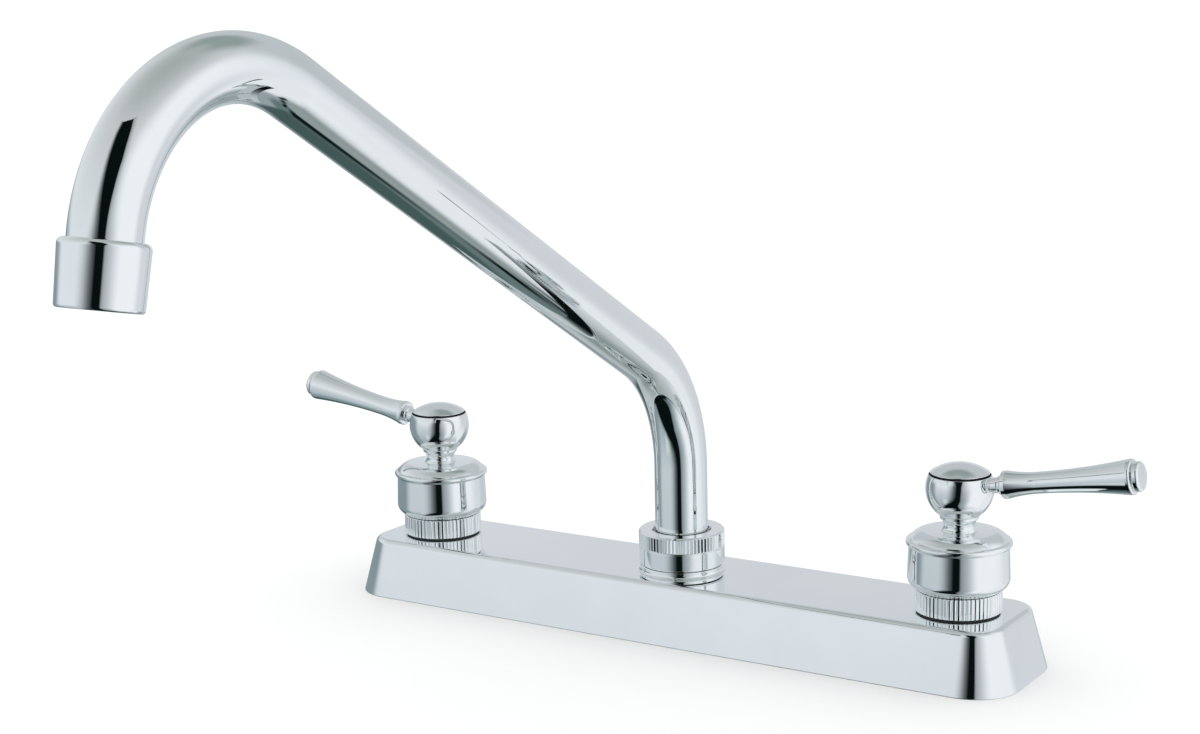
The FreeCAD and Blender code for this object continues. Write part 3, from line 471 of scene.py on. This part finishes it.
# deck plate: one skin carried round a rounded rectangle, then flat top and roof
def build_plate():
    half_x, half_y, corner = 253.4 / 2, 51.6 / 2, 15.4
    cx, cy = half_x - corner, half_y - corner
    track = []
    for k, (sx, sy) in enumerate(((1, 1), (-1, 1), (-1, -1), (1, -1))):
        for j in range(25):
            track.append((sx * cx, sy * cy, math.pi / 2 * (k + j / 24)))
        nx, ny = ((-1, 1), (-1, -1), (1, -1), (1, 1))[k]
        parts = 40 if k % 2 == 0 else 8
        for j in range(1, parts):
            t = j / parts
            track.append(
                (
                    sx * cx + (nx * cx - sx * cx) * t,
                    sy * cy + (ny * cy - sy * cy) * t,
                    math.pi / 2 * (k + 1),
                )
            )
    slant = math.tan(SLOPE)
    fillet = 2.2
    reach = fillet * math.tan((math.pi / 2 - SLOPE) / 2)
    edge = corner - PLATE_H * slant
    wall_cut = reach * math.cos(SLOPE)
    top_ring, roof_ring = edge - reach, corner - 1.8 - 17.6 * slant
    outer = [
        (corner - 1.8, 0.0),
        (roof_ring, 17.6),
        (roof_ring - 2.5, 17.6),
        (top_ring - 1.5, PLATE_H),
        (top_ring, PLATE_H, -fillet),
        (edge + reach * math.sin(SLOPE), PLATE_H - wall_cut),
        (corner, 0.0),
    ]
    edges, side = edge_list(outer, 5.0)
    ends = (outer[2], outer[3])
    # the flat top and the roof are filled in below, so the link between them goes
    skin = [
        e
        for e in eased(edges, 0.25, keep=ends)
        if not (abs(e[0][1] - e[1][1]) > 2.0 and e[0][0] < roof_ring - 1 and e[1][0] < roof_ring - 1)
    ]
    verts, faces, normals = swept_outline(skin, side, track)
    verts, normals = list(verts), list(normals)
    n = len(track)
    rims = {PLATE_H: list(range(n)), 17.6: list(range(len(verts) - n, len(verts)))}

    holes = [(0.0, 12.4), (-HALF_SPACING, 10.1), (HALF_SPACING, 10.1)]
    circles = {}
    for level in (PLATE_H, 17.6):
        for x, r in holes:
            ids = []
            for j in range(72):
                a = 2 * math.pi * j / 72
                ids.append(len(verts))
                verts.append((x + r * math.cos(a), r * math.sin(a), level))
            circles[level, x] = ids
    for level, up in ((PLATE_H, 1.0), (17.6, -1.0)):
        loop = rims[level]
        bm = bmesh.new()
        own = {}
        for i in loop + [i for x, _ in holes for i in circles[level, x]]:
            own[i] = bm.verts.new(verts[i])
        rows = [loop] + [circles[level, x] for x, _ in holes]
        lines = []
        for row in rows:
            for k in range(len(row)):
                lines.append(bm.edges.new((own[row[k]], own[row[(k + 1) % len(row)]])))
        bmesh.ops.triangle_fill(bm, use_beauty=True, use_dissolve=False, edges=lines)
        back = {v: i for i, v in own.items()}
        for f in bm.faces:
            ids = [back[v] for v in f.verts]
            a, b, c = (np.array(verts[i]) for i in ids)
            if np.cross(b - a, c - a)[2] * up < 0:
                ids.reverse()
            faces.append(ids)
            normals.extend([(0.0, 0.0, up)] * 3)
        bm.free()
    for x, r in holes:
        low, high = circles[17.6, x], circles[PLATE_H, x]
        for j in range(72):
            k = (j + 1) % 72
            faces.append([low[j], high[j], high[k], low[k]])
            for q in (j, j, k, k):
                a = 2 * math.pi * q / 72
                normals.append((-math.cos(a), -math.sin(a), 0.0))
    # low round boss under the nut
    boss = [
        (11.0, PLATE_H - 0.6),
        (15.5, PLATE_H - 0.6),
        (15.5, PLATE_H, -1.2),
        (14.3, PLATE_H + 1.2),
        (14.3, PLATE_H + 1.8),
        (14.0, PLATE_H + 2.1),
        (11.0, PLATE_H + 2.1),
    ]
    b_edges, b_side = edge_list(boss, 8.0)
    bv, bf, bn = swept_outline(eased(b_edges, 0.15), b_side, ring_track(120))
    start = len(verts)
    verts.extend(bv)
    faces.extend([[i + start for i in f] for f in bf])
    normals.extend(bn)
    obj = finished("deck_plate_cover", verts, faces, normals, CHROME_CAST)
    stands_for(obj, "deck_plate", "deck")


build_plate()


# fluted flange rings
def flutes(count, depth, width, soft=0.10):
    """Shallow grooves between flat lands: lift and slope for each track angle."""

    def height(u):
        t = np.abs(u - 0.5) / (width / 2)
        return -depth * np.clip(1 - np.sqrt(t**2 + soft**2) + soft * 0.5, 0, 1)

    def wave(angle):
        u = (angle * count / (2 * math.pi)) % 1.0
        h = height(u)
        d = 1e-3
        slope = (height((u + d) % 1.0) - height((u - d) % 1.0)) / (2 * d) * count / (2 * math.pi)
        return h, slope

    return wave


def fluted_track(count, marks):
    return [
        (0.0, 0.0, 2 * math.pi * (k + u) / count) for k in range(count) for u in marks
    ]


RING_FLUTES = 60


def build_ring(side, sign):
    low, top, r = 20.3, 27.2, 13.85
    outline = [
        (9.85, low),
        (r - 0.25, low),
        (r, low + 0.25),
        (r, top - 0.3),
        (r - 0.3, top),
        (9.85, top),
    ]
    edges, turn = edge_list(outline, 6.0)
    edges = eased(edges, 0.1)
    track = fluted_track(RING_FLUTES, (0.0, 0.16, 0.24, 0.32, 0.42, 0.5, 0.58, 0.68, 0.76, 0.84))
    verts, faces, normals = swept_outline(
        edges,
        turn,
        track,
        wave=flutes(RING_FLUTES, 0.24, 0.5),
        band=lambda x, y: 1.0 if x > r - 0.4 else 0.0,
    )
    obj = placed(side + "_ring_fluted", verts, faces, normals, CHROME, shift(sign * HALF_SPACING, 0, 0))
    stands_for(obj, side + "_flange_ring", "deck")


# handle hub: bell, waist and ball in one casting
HUB = [
    (3.6, 38.0),
    (3.6, 53.6),
    (2.15, 53.6),
    (2.15, 55.6),
    (4.3, 55.6),
    (4.3, 63.2),
    (8.7, 63.2),
    (8.7, BALL_TOP),
    (math.sqrt(BALL_R**2 - (BALL_TOP - BALL_Z) ** 2), BALL_TOP, -BALL_R),
    (6.15, BALL_Z - math.sqrt(BALL_R**2 - 6.15**2)),
    (6.15, 50.25),
    (5.9, 50.0, 2.5),
    (5.45, 46.6),
    (5.55, 46.4, 0.5),
    (5.95, 46.15),
    (11.0, 46.05, -(4.6**2 + 2.55**2) / 5.1),
    (15.6, 43.5),
    (15.9, 43.4, -0.9),
    (16.75, 42.6),
    (16.75, 42.3, -0.8),
    (16.25, 41.65, 0.8),
    (15.85, 41.2),
    (15.85, 40.8),
    (16.2, 30.9, -3.6),
    (14.15, 28.0),
    (13.75, 27.5),
    (12.25, 27.5),
    (12.25, 28.5),
    (13.9, 31.3),
    (13.9, 42.0),
    (12.9, 43.0),
    (5.9, 43.0),
    (5.9, 38.0),
]


def lever_frame(sign):
    """From an upright piece to one along the lever, which leaves the ball outward and 10 degrees up."""
    tilt = Matrix.Rotation(math.radians(80.0 * sign), 4, "Y")
    return shift(sign * HALF_SPACING, 0, BALL_Z) @ tilt


def build_handle(side, sign):
    body = side + "_handle"
    here = shift(sign * HALF_SPACING, 0, 0)
    edges, turn = edge_list(HUB, 3.0)
    edges = eased(edges, 0.16)
    verts, faces, normals = swept_outline(edges, turn, ring_track(192))
    verts, faces, normals = list(verts), list(faces), list(normals)
    # boss where the lever screws in, sunk in the ball
    boss = [(1.6, 9.9), (2.4, 9.9), (2.4, 11.0), (1.6, 11.0)]
    b_edges, b_turn = edge_list(boss, 6.0)
    bv, bf, bn = swept_outline(eased(b_edges, 0.12), b_turn, ring_track(72))
    lean = np.array(here.inverted() @ lever_frame(sign), float)
    start = len(verts)
    verts.extend((np.array(bv) @ lean[:3, :3].T + lean[:3, 3]).tolist())
    normals.extend((np.array(bn) @ lean[:3, :3].T).tolist())
    faces.extend([[i + start for i in f] for f in bf])
    hub = placed(side + "_hub_casting", verts, faces, normals, CHROME_CAST, here)
    middle = sign * HALF_SPACING
    # the recess wall and rim round the button get near-black painted shade for the seam
    faces_in(hub, SEAM_SHADE, lambda x, y, z: z > 63.0 and math.hypot(x - middle, y) < 9.45)
    stands_for(hub, side + "_handle_hub", body)

    dome = (9.35**2 + 3.0**2) / 6.0
    button = turned(
        side + "_button_disc",
        [
            (0, 62.0),
            (4.15, 62.0),
            (4.15, 63.22),
            (8.5, 63.22),
            (8.5, 64.75),
            (9.35, 64.75),
            (9.35, 64.95, dome),
            (0, 67.95),
        ],
        CHROME,
        here,
        ease=0.1,
        step=1.5,
    )
    # the button's neck and underside get near-black painted shade for the seam
    faces_in(button, SEAM_SHADE, lambda x, y, z: z < 64.8)
    stands_for(button, side + "_index_button", body)

    out = lever_frame(sign)
    ferrule = turned(
        side + "_ferrule_ring",
        [
            (1.6, 11.02),
            (2.5, 11.02),
            (2.5, 13.1),
            (3.0, 13.6),
            (3.0, 14.8),
            (1.6, 14.8),
        ],
        CHROME,
        out,
        count=96,
        ease=0.14,
        step=10,
    )
    stands_for(ferrule, side + "_lever_ferrule", body)

    def sag(run, rise):
        return (run**2 + rise**2) / (2 * rise)

    grip = turned(
        side + "_grip_lever",
        [
            (1.6, 14.82),
            (4.05, 14.82),
            (4.4, 15.15),
            (4.4, 16.4, -sag(9.6, 1.0)),
            (3.4, 26.0, -sag(29.6, 2.1)),
            (5.5, 55.6),
            (5.5, 56.3, 0.7),
            (4.8, 57.0),
            (2.0, 57.0),
            (2.0, 51.0),
            (0, 50.4),
            (0, 26.0),
            (1.6, 24.8),
        ],
        CHROME_CAST,
        out,
        count=144,
        ease=0.2,
        step=0.8,
    )
    stands_for(grip, side + "_lever_grip", body)

    cap = turned(
        side + "_cap_end",
        [
            (0, 51.4),
            (1.95, 51.4),
            (1.95, 57.02),
            (4.1, 57.02),
            (4.1, 57.35),
            (4.45, 57.42),
            (4.6, 57.6),
            (4.6, 58.55, 0.9),
            (3.8, 59.35, (3.8**2 + 0.0625) / 0.5),
            (0, 59.6),
        ],
        CHROME,
        out,
        count=96,
        ease=0.12,
        step=3,
    )
    stands_for(cap, side + "_lever_end_cap", body)


for side, sign in (("hot", -1), ("cold", 1)):
    build_ring(side, sign)
    build_handle(side, sign)


# spout nut: knurled band over a plain band
NUT_TEETH = 72


def ridges(count, depth, soft=0.09):
    """Sharp V ridges with slightly worn crests and roots."""

    def height(u):
        t = np.abs((u + 0.5) % 1.0 - 0.5) * 2
        root = np.sqrt((1 - t) ** 2 + soft**2) - soft
        crest = np.sqrt(t**2 + soft**2) - soft
        return -depth * 0.5 * ((1 - root) + crest)

    def wave(angle):
        u = (angle * count / (2 * math.pi)) % 1.0
        d = 1e-3
        slope = (height(u + d) - height(u - d)) / (2 * d) * count / (2 * math.pi)
        return height(u), slope

    return wave


def build_nut():
    r, low, line, top = 14.6, 22.2, 28.2, 33.9
    outline = [
        (12.2, low),
        (r - 0.4, low),
        (r, low + 0.4),
        (r, line - 0.2),
        (r - 0.25, line),
        (r, line + 0.2),
        (r, line + 0.3),
        (r, line + 0.5),
        (r, top - 0.7),
        (r, top - 0.5),
        (r - 0.5, top),
        (10.3, top),
        (9.9, top - 0.4),
        (9.9, 31.4),
        (12.2, 31.4),
    ]
    edges, turn = edge_list(outline, 8.0)
    edges = eased(edges, 0.12)
    track = fluted_track(NUT_TEETH, (0.0, 0.06, 0.14, 0.3, 0.42, 0.5, 0.58, 0.7, 0.86, 0.94))
    verts, faces, normals = swept_outline(
        edges,
        turn,
        track,
        wave=ridges(NUT_TEETH, 0.46),
        band=lambda x, y: 1.0 if line + 0.45 < y < top - 0.65 and x > r - 0.2 else 0.0,
    )
    obj = placed("nut_knurled", verts, faces, normals, CHROME)
    stands_for(obj, "spout_nut", "deck")


build_nut()


# spout tube: a round section carried along straight runs and two bends
def build_tube():
    r, wall = 8.95, 1.1
    low_r, low_a = 49.7, math.radians(59.75)
    high_r, high_a = 45.8, math.radians(167.9)
    foot, rise, slope, tail = 16.5, 55.7, 191.5, 6.4
    stations = []

    def run(start, heading, length, parts):
        for k in range(parts + 1):
            d = length * k / parts
            stations.append(
                (start[0] + d * math.sin(heading), start[1] + d * math.cos(heading), heading)
            )
        return stations[-1][:2]

    def bend(start, radius, a, b, parts):
        cx, cz = start[0] + radius * math.cos(a), start[1] - radius * math.sin(a)
        for k in range(1, parts + 1):
            t = a + (b - a) * k / parts
            stations.append((cx - radius * math.cos(t), cz + radius * math.sin(t), t))
        return stations[-1][:2]

    at = run((0.0, foot), 0.0, rise - foot, 6)
    at = bend(at, low_r, 0.0, low_a, 40)
    first = len(stations)
    at = run(at, low_a, slope, 24)
    del stations[first]
    at = bend(at, high_r, low_a, high_a, 64)
    first = len(stations)
    at = run(at, high_a, tail, 2)
    del stations[first]
    around = 128
    verts, faces, normals = [], [], []
    angle = [2 * math.pi * j / around for j in range(around)]
    grid = {}
    for skin, size in (("out", r), ("in", r - wall)):
        rows = []
        for reach, level, heading in stations:
            row = []
            for a in angle:
                side_way, up_way = math.cos(a), math.sin(a)
                # the outward way in the bend's plane stands square to the heading
                n = (
                    side_way,
                    up_way * math.cos(heading),
                    up_way * math.sin(heading),
                )
                row.append(len(verts))
                verts.append((size * n[0], -reach + size * n[1], level + size * n[2]))
            rows.append(row)
        grid[skin] = rows

    def way(a, heading, flip=1.0):
        return (
            flip * math.cos(a),
            flip * math.sin(a) * math.cos(heading),
            flip * math.sin(a) * math.sin(heading),
        )

    for skin, flip in (("out", 1.0), ("in", -1.0)):
        rows = grid[skin]
        for i in range(len(rows) - 1):
            for j in range(around):
                k = (j + 1) % around
                quad = [(i, j), (i, k), (i + 1, k), (i + 1, j)]
                if flip < 0:
                    quad.reverse()
                faces.append([rows[p][q] for p, q in quad])
                for p, q in quad:
                    normals.append(way(angle[q], stations[p][2], flip))
    for i, flip in ((0, -1.0), (len(stations) - 1, 1.0)):
        heading = stations[i][2]
        axis = (0.0, -flip * math.sin(heading), flip * math.cos(heading))
        for j in range(around):
            k = (j + 1) % around
            quad = [grid["out"][i][j], grid["out"][i][k], grid["in"][i][k], grid["in"][i][j]]
            if flip < 0:
                quad.reverse()
            faces.append(quad)
            normals.extend([axis] * 4)
    obj = finished("spout_tube_bent", verts, faces, normals, CHROME_TUBE)
    stands_for(obj, "spout_tube", "spout")
    return stations


TUBE = build_tube()


# aerator sleeve, turned about the outlet's axis
def outlet_frame():
    reach, level, heading = TUBE[-1]
    reach -= 6.4 * math.sin(heading)
    level -= 6.4 * math.cos(heading)
    return shift(0, -reach, level) @ Matrix.Rotation(heading, 4, "X")


aerator = turned(
    "aerator_sleeve",
    [
        (8.96, 0.5),
        (9.2, 0.5),
        (9.35, 0.55, 1.6),
        (10.95, 2.15),
        (10.55, 16.2, 0.8),
        (9.85, 16.9),
        (8.9, 16.9),
        (8.9, 15.7),
        (9.6, 15.7),
        (9.6, 6.5),
        (8.96, 6.5),
    ],
    CHROME,
    outlet_frame(),
    count=160,
    ease=0.2,
    step=6,
)
stands_for(aerator, "aerator_housing", "spout")

# ---------------------------------------------------------------------------
# floor and light


def sheet_of_floor():
    size, rings, around = 3.0, 24, 96
    verts, faces = [(0.0, 0.0, 0.0)], []
    for i in range(1, rings + 1):
        r = size * (i / rings) ** 1.6
        for j in range(around):
            a = 2 * math.pi * j / around
            verts.append((r * math.cos(a), r * math.sin(a), 0.0))
    for j in range(around):
        faces.append((0, 1 + j, 1 + (j + 1) % around))
    for i in range(rings - 1):
        for j in range(around):
            k = (j + 1) % around
            a = 1 + i * around
            faces.append((a + j, a + around + j, a + around + k, a + k))
    mesh = bpy.data.meshes.new("floor_sheet")
    mesh.from_pydata(verts, [], faces)
    n = Nodes("pale_floor")
    n.feed("Base Color", n.colours(n.noise(1.5, 2.0), [(0.3, (0.94, 0.94, 0.94)), (0.7, (0.95, 0.95, 0.95))]))
    n.set("Roughness", 0.9)
    n.set("Specular IOR Level", 0.0)
    mesh.materials.append(n.material)
    floor = bpy.data.objects.new("floor_sheet", mesh)
    scene.collection.objects.link(floor)
    floor.visible_glossy = False
    return floor


sheet_of_floor()

# Polished chrome shows what stands round it, so the soft light is a tent: a wide white
# shell with lit and shaded panels, and a tall dark gap where the cloth parts in front.
# It lights the chrome only; the floor takes its light from the even white world.
TENT_AT, TENT_R = (0.0, -0.05, 0.08), 0.9


def shown(value):
    """Screen value of a grey or colour as light on the shell, before the chrome dims it."""
    values = value if isinstance(value, tuple) else (value,) * 3
    return tuple((((v + 0.055) / 1.055) ** 2.4 if v > 0.04 else v / 12.92) / 0.9 for v in values)


# height above the horizon in degrees, and the shell's tone there
TENT_TONES = [
    (-90, (0.08, 0.12, 0.12)),
    (-68, (0.44, 0.50, 0.51)),
    (-50, (0.62, 0.67, 0.69)),
    (-28, (0.70, 0.75, 0.77)),
    (-8, (0.78, 0.80, 0.82)),
    (8, (0.86, 0.88, 0.90)),
    (24, (0.83, 0.85, 0.86)),
    (52, (0.76, 0.77, 0.775)),
    (68, (0.68, 0.70, 0.70)),
    (90, (0.62, 0.655, 0.635)),
]

# panels: direction (degrees from +Y towards +X), height, half width, half height,
# softness across, softness up, tone
TENT_PANELS = [
    (-80, -28, 32, 36, 12, 8, (0.51, 0.57, 0.59)),
    (-15, 32, 52, 20, 12, 8, (0.73, 0.75, 0.765)),
    (4, 2, 42, 12, 10, 5, (0.80, 0.81, 0.83)),
    (-12, 62, 45, 11, 18, 7, (0.55, 0.60, 0.59)),
    (83, -8, 36, 46, 14, 14, (0.92, 0.93, 0.945)),
    (42, -38, 24, 24, 9, 12, (0.89, 0.90, 0.915)),
    (42, -82, 36, 16, 10, 8, (0.56, 0.60, 0.59)),
    (-15, -40, 30, 18, 10, 8, (0.57, 0.61, 0.62)),
    (-28, -66, 26, 8, 8, 4, (0.38, 0.45, 0.45)),
    (-62, -50, 17, 25, 6, 8, (0.26, 0.34, 0.335)),
    (-38, -84, 28, 8, 8, 3, (0.04, 0.09, 0.09)),
    (-4, -71, 13, 2, 4, 1.5, (0.04, 0.09, 0.09)),
    (14, -67, 8, 2.5, 4, 2, (0.12, 0.17, 0.17)),
    (27, -62, 9, 2.5, 4, 2, (0.10, 0.15, 0.15)),
    (-157, -45, 12, 14, 5, 5, (0.78, 0.81, 0.82)),
]

# the parting in front, from the floor up: height, middle, half width, how fast its
# shaded borders end
TENT_GAP = [
    (-90, 195, 80, 2.0),
    (-70, 192, 66, 2.0),
    (-60, 190, 42, 1.8),
    (-51, 178, 24, 1.4),
    (-42, 164, 14, 1.2),
    (-32, 157, 9, 1.0),
    (-20, 155, 6.5, 1.0),
    (12, 153, 7, 1.0),
    (20, 152, 8.5, 1.5),
    (28, 152, 12, 2.0),
    (38, 153, 16, 2.6),
    (46, 157, 17, 3.0),
    (52, 161, 17, 3.0),
    (57, 165, 14, 3.0),
    (60, 166, -60, 3.6),
]
# shade of the borders: degrees out from the parting, and how much of the light is gone
BORDER_RIGHT = [(0, 1.0), (1.5, 0.86), (4, 0.56), (10, 0.4), (16, 0.28), (22, 0.16), (30, 0.06), (38, 0.0)]
BORDER_LEFT = [(0, 1.0), (1.5, 0.97), (4, 0.92), (9, 0.82), (15, 0.62), (21, 0.38), (27, 0.18), (33, 0.06), (38, 0.0)]


def studio_tent():
    rings, around = 24, 48
    verts, faces = [], []
    for i in range(rings + 1):
        lift = math.pi * (i / rings - 0.5)
        for j in range(around):
            a = 2 * math.pi * j / around
            verts.append(
                (
                    TENT_R * math.cos(lift) * math.sin(a),
                    TENT_R * math.cos(lift) * math.cos(a),
                    TENT_R * math.sin(lift),
                )
            )
    for i in range(rings):
        for j in range(around):
            k = (j + 1) % around
            faces.append((i * around + j, (i + 1) * around + j, (i + 1) * around + k, i * around + k))
    mesh = bpy.data.meshes.new("studio_tent")
    mesh.from_pydata(verts, [], faces)

    material = bpy.data.materials.new("tent_cloth")
    material.use_nodes = True
    tree = material.node_tree
    tree.nodes.clear()
    add, link = tree.nodes.new, tree.links.new

    def sum_up(kind, a, b=None):
        node = add("ShaderNodeMath")
        node.operation = kind
        for k, v in enumerate((a, b)):
            if v is None:
                continue
            if isinstance(v, (int, float)):
                node.inputs[k].default_value = v
            else:
                link(v, node.inputs[k])
        return node

    def soft_edge(distance, half, soft):
        node = add("ShaderNodeMapRange")
        node.interpolation_type = "SMOOTHSTEP"
        for key, value in (("From Min", half - soft), ("From Max", half + soft), ("To Min", 1), ("To Max", 0)):
            node.inputs[key].default_value = value
        link(distance, node.inputs["Value"])
        return node.outputs["Result"]

    where = add("ShaderNodeTexCoord").outputs["Object"]
    split = add("ShaderNodeSeparateXYZ")
    link(where, split.inputs[0])
    x, y, z = split.outputs
    turn = sum_up("DEGREES", sum_up("ARCTAN2", x, y).outputs[0]).outputs[0]
    rise = sum_up("DEGREES", sum_up("ARCSINE", sum_up("DIVIDE", z, TENT_R).outputs[0]).outputs[0]).outputs[0]
    share = sum_up("DIVIDE", sum_up("ADD", rise, 90.0).outputs[0], 180.0).outputs[0]
    ramp = add("ShaderNodeValToRGB")
    bar = ramp.color_ramp.elements
    while len(bar) < len(TENT_TONES):
        bar.new(0.5)
    for element, (at, tone) in zip(bar, TENT_TONES):
        element.position = (at + 90) / 180
        element.color = (*shown(tone), 1.0)
    link(share, ramp.inputs["Fac"])
    light = ramp.outputs["Color"]
    for direction, height, wide, tall, soft_wide, soft_tall, tone in TENT_PANELS:
        off = sum_up("SUBTRACT", turn, float(direction)).outputs[0]
        wrap = add("ShaderNodeMath")
        wrap.operation = "WRAP"
        link(off, wrap.inputs[0])
        wrap.inputs[1].default_value, wrap.inputs[2].default_value = 180.0, -180.0
        across = soft_edge(sum_up("ABSOLUTE", wrap.outputs[0]).outputs[0], wide, soft_wide)
        off = sum_up("SUBTRACT", rise, float(height)).outputs[0]
        up = soft_edge(sum_up("ABSOLUTE", off).outputs[0], tall, soft_tall)
        mix = add("ShaderNodeMix")
        mix.data_type = "RGBA"
        link(sum_up("MULTIPLY", across, up).outputs[0], mix.inputs[0])
        link(light, mix.inputs[6])
        mix.inputs[7].default_value = (*shown(tone), 1.0)
        light = mix.outputs[2]

    def graded(source, stops):
        node = add("ShaderNodeValToRGB")
        bar = node.color_ramp.elements
        while len(bar) < len(stops):
            bar.new(0.5)
        for element, (at, colour) in zip(bar, stops):
            element.position = at
            element.color = (*colour, 1.0)
        link(source, node.inputs["Fac"])
        return node.outputs["Color"]

    path = add("ShaderNodeSeparateXYZ")
    stops = [((h + 90) / 180, (m / 360, (w + 90) / 180, t / 4)) for h, m, w, t in TENT_GAP]
    link(graded(share, stops), path.inputs[0])
    middle = sum_up("MULTIPLY", path.outputs[0], 360.0).outputs[0]
    half = sum_up("SUBTRACT", sum_up("MULTIPLY", path.outputs[1], 180.0).outputs[0], 90.0).outputs[0]
    haste = sum_up("MULTIPLY", path.outputs[2], 4.0 / 50.0).outputs[0]
    wrap = add("ShaderNodeMath")
    wrap.operation = "WRAP"
    link(sum_up("SUBTRACT", turn, middle).outputs[0], wrap.inputs[0])
    wrap.inputs[1].default_value, wrap.inputs[2].default_value = 180.0, -180.0
    beyond = sum_up("SUBTRACT", sum_up("ABSOLUTE", wrap.outputs[0]).outputs[0], half).outputs[0]
    beyond = sum_up("MULTIPLY", beyond, haste).outputs[0]
    right = graded(beyond, [(at / 50, (v, v, v)) for at, v in BORDER_RIGHT])
    left = graded(beyond, [(at / 50, (v, v, v)) for at, v in BORDER_LEFT])
    choose = add("ShaderNodeMix")
    choose.data_type = "RGBA"
    link(sum_up("GREATER_THAN", wrap.outputs[0], 0.0).outputs[0], choose.inputs[0])
    link(right, choose.inputs[6])
    link(left, choose.inputs[7])
    dark = add("ShaderNodeMix")
    dark.data_type = "RGBA"
    link(choose.outputs[2], dark.inputs[0])
    link(light, dark.inputs[6])
    dark.inputs[7].default_value = (*shown((0.03, 0.06, 0.06)), 1.0)
    light = dark.outputs[2]

    glow = add("ShaderNodeEmission")
    link(light, glow.inputs["Color"])
    glow.inputs["Strength"].default_value = 1.0
    out = add("ShaderNodeOutputMaterial")
    link(glow.outputs[0], out.inputs[0])
    mesh.materials.append(material)
    tent = bpy.data.objects.new("studio_tent", mesh)
    tent.location = TENT_AT
    unseen(tent, material)


def unseen(obj, material):
    """Studio cloth: the chrome mirrors it, the camera and the floor don't see it."""
    scene.collection.objects.link(obj)
    obj.visible_camera = False
    obj.visible_diffuse = False
    obj.visible_shadow = False
    obj.visible_transmission = False
    obj.visible_volume_scatter = False
    if hasattr(material, "cycles"):
        material.cycles.emission_sampling = "NONE"


studio_tent()

world = bpy.data.worlds.new("studio")
scene.world = world
world.use_nodes = True
tree = world.node_tree
tree.nodes.clear()
output = tree.nodes.new("ShaderNodeOutputWorld")
background = tree.nodes.new("ShaderNodeBackground")
background.inputs["Color"].default_value = (1.0, 1.0, 1.0, 1.0)
background.inputs["Strength"].default_value = 1.12
tree.links.new(background.outputs[0], output.inputs[0])

scene.view_settings.view_transform = "Standard"
scene.view_settings.look = "None"

# ---------------------------------------------------------------------------
# camera at the photograph's angle, worked out for a 1200 by 734 frame


def photo_camera():
    azimuth, elevation, roll = (math.radians(v) for v in (32.897, 12.577, 1.314))
    forward = np.array(
        [
            -math.sin(azimuth) * math.cos(elevation),
            math.cos(azimuth) * math.cos(elevation),
            -math.sin(elevation),
        ]
    )
    right = np.array([math.cos(azimuth), math.sin(azimuth), 0.0])
    down = np.cross(forward, right)
    right, down = (
        right * math.cos(roll) + down * math.sin(roll),
        -right * math.sin(roll) + down * math.cos(roll),
    )
    turn = np.vstack([right, down, forward])
    place = -turn.T @ np.array([28.564, 66.421, 750.189])
    data = bpy.data.cameras.new("photo_camera")
    data.sensor_fit = "HORIZONTAL"
    data.sensor_width = 36.0
    data.lens = 2179.9 * 36.0 / 1200
    data.shift_x = 0.0
    data.shift_y = (430.0 - 367.0) / 1200
    data.clip_start, data.clip_end = 0.05, 20.0
    camera = bpy.data.objects.new("photo_camera", data)
    basis = np.eye(4)
    basis[:3, 0], basis[:3, 1], basis[:3, 2] = right, -down, -forward
    basis[:3, 3] = place * MM
    camera.matrix_world = Matrix(basis.tolist())
    scene.collection.objects.link(camera)
    scene.camera = camera


photo_camera()
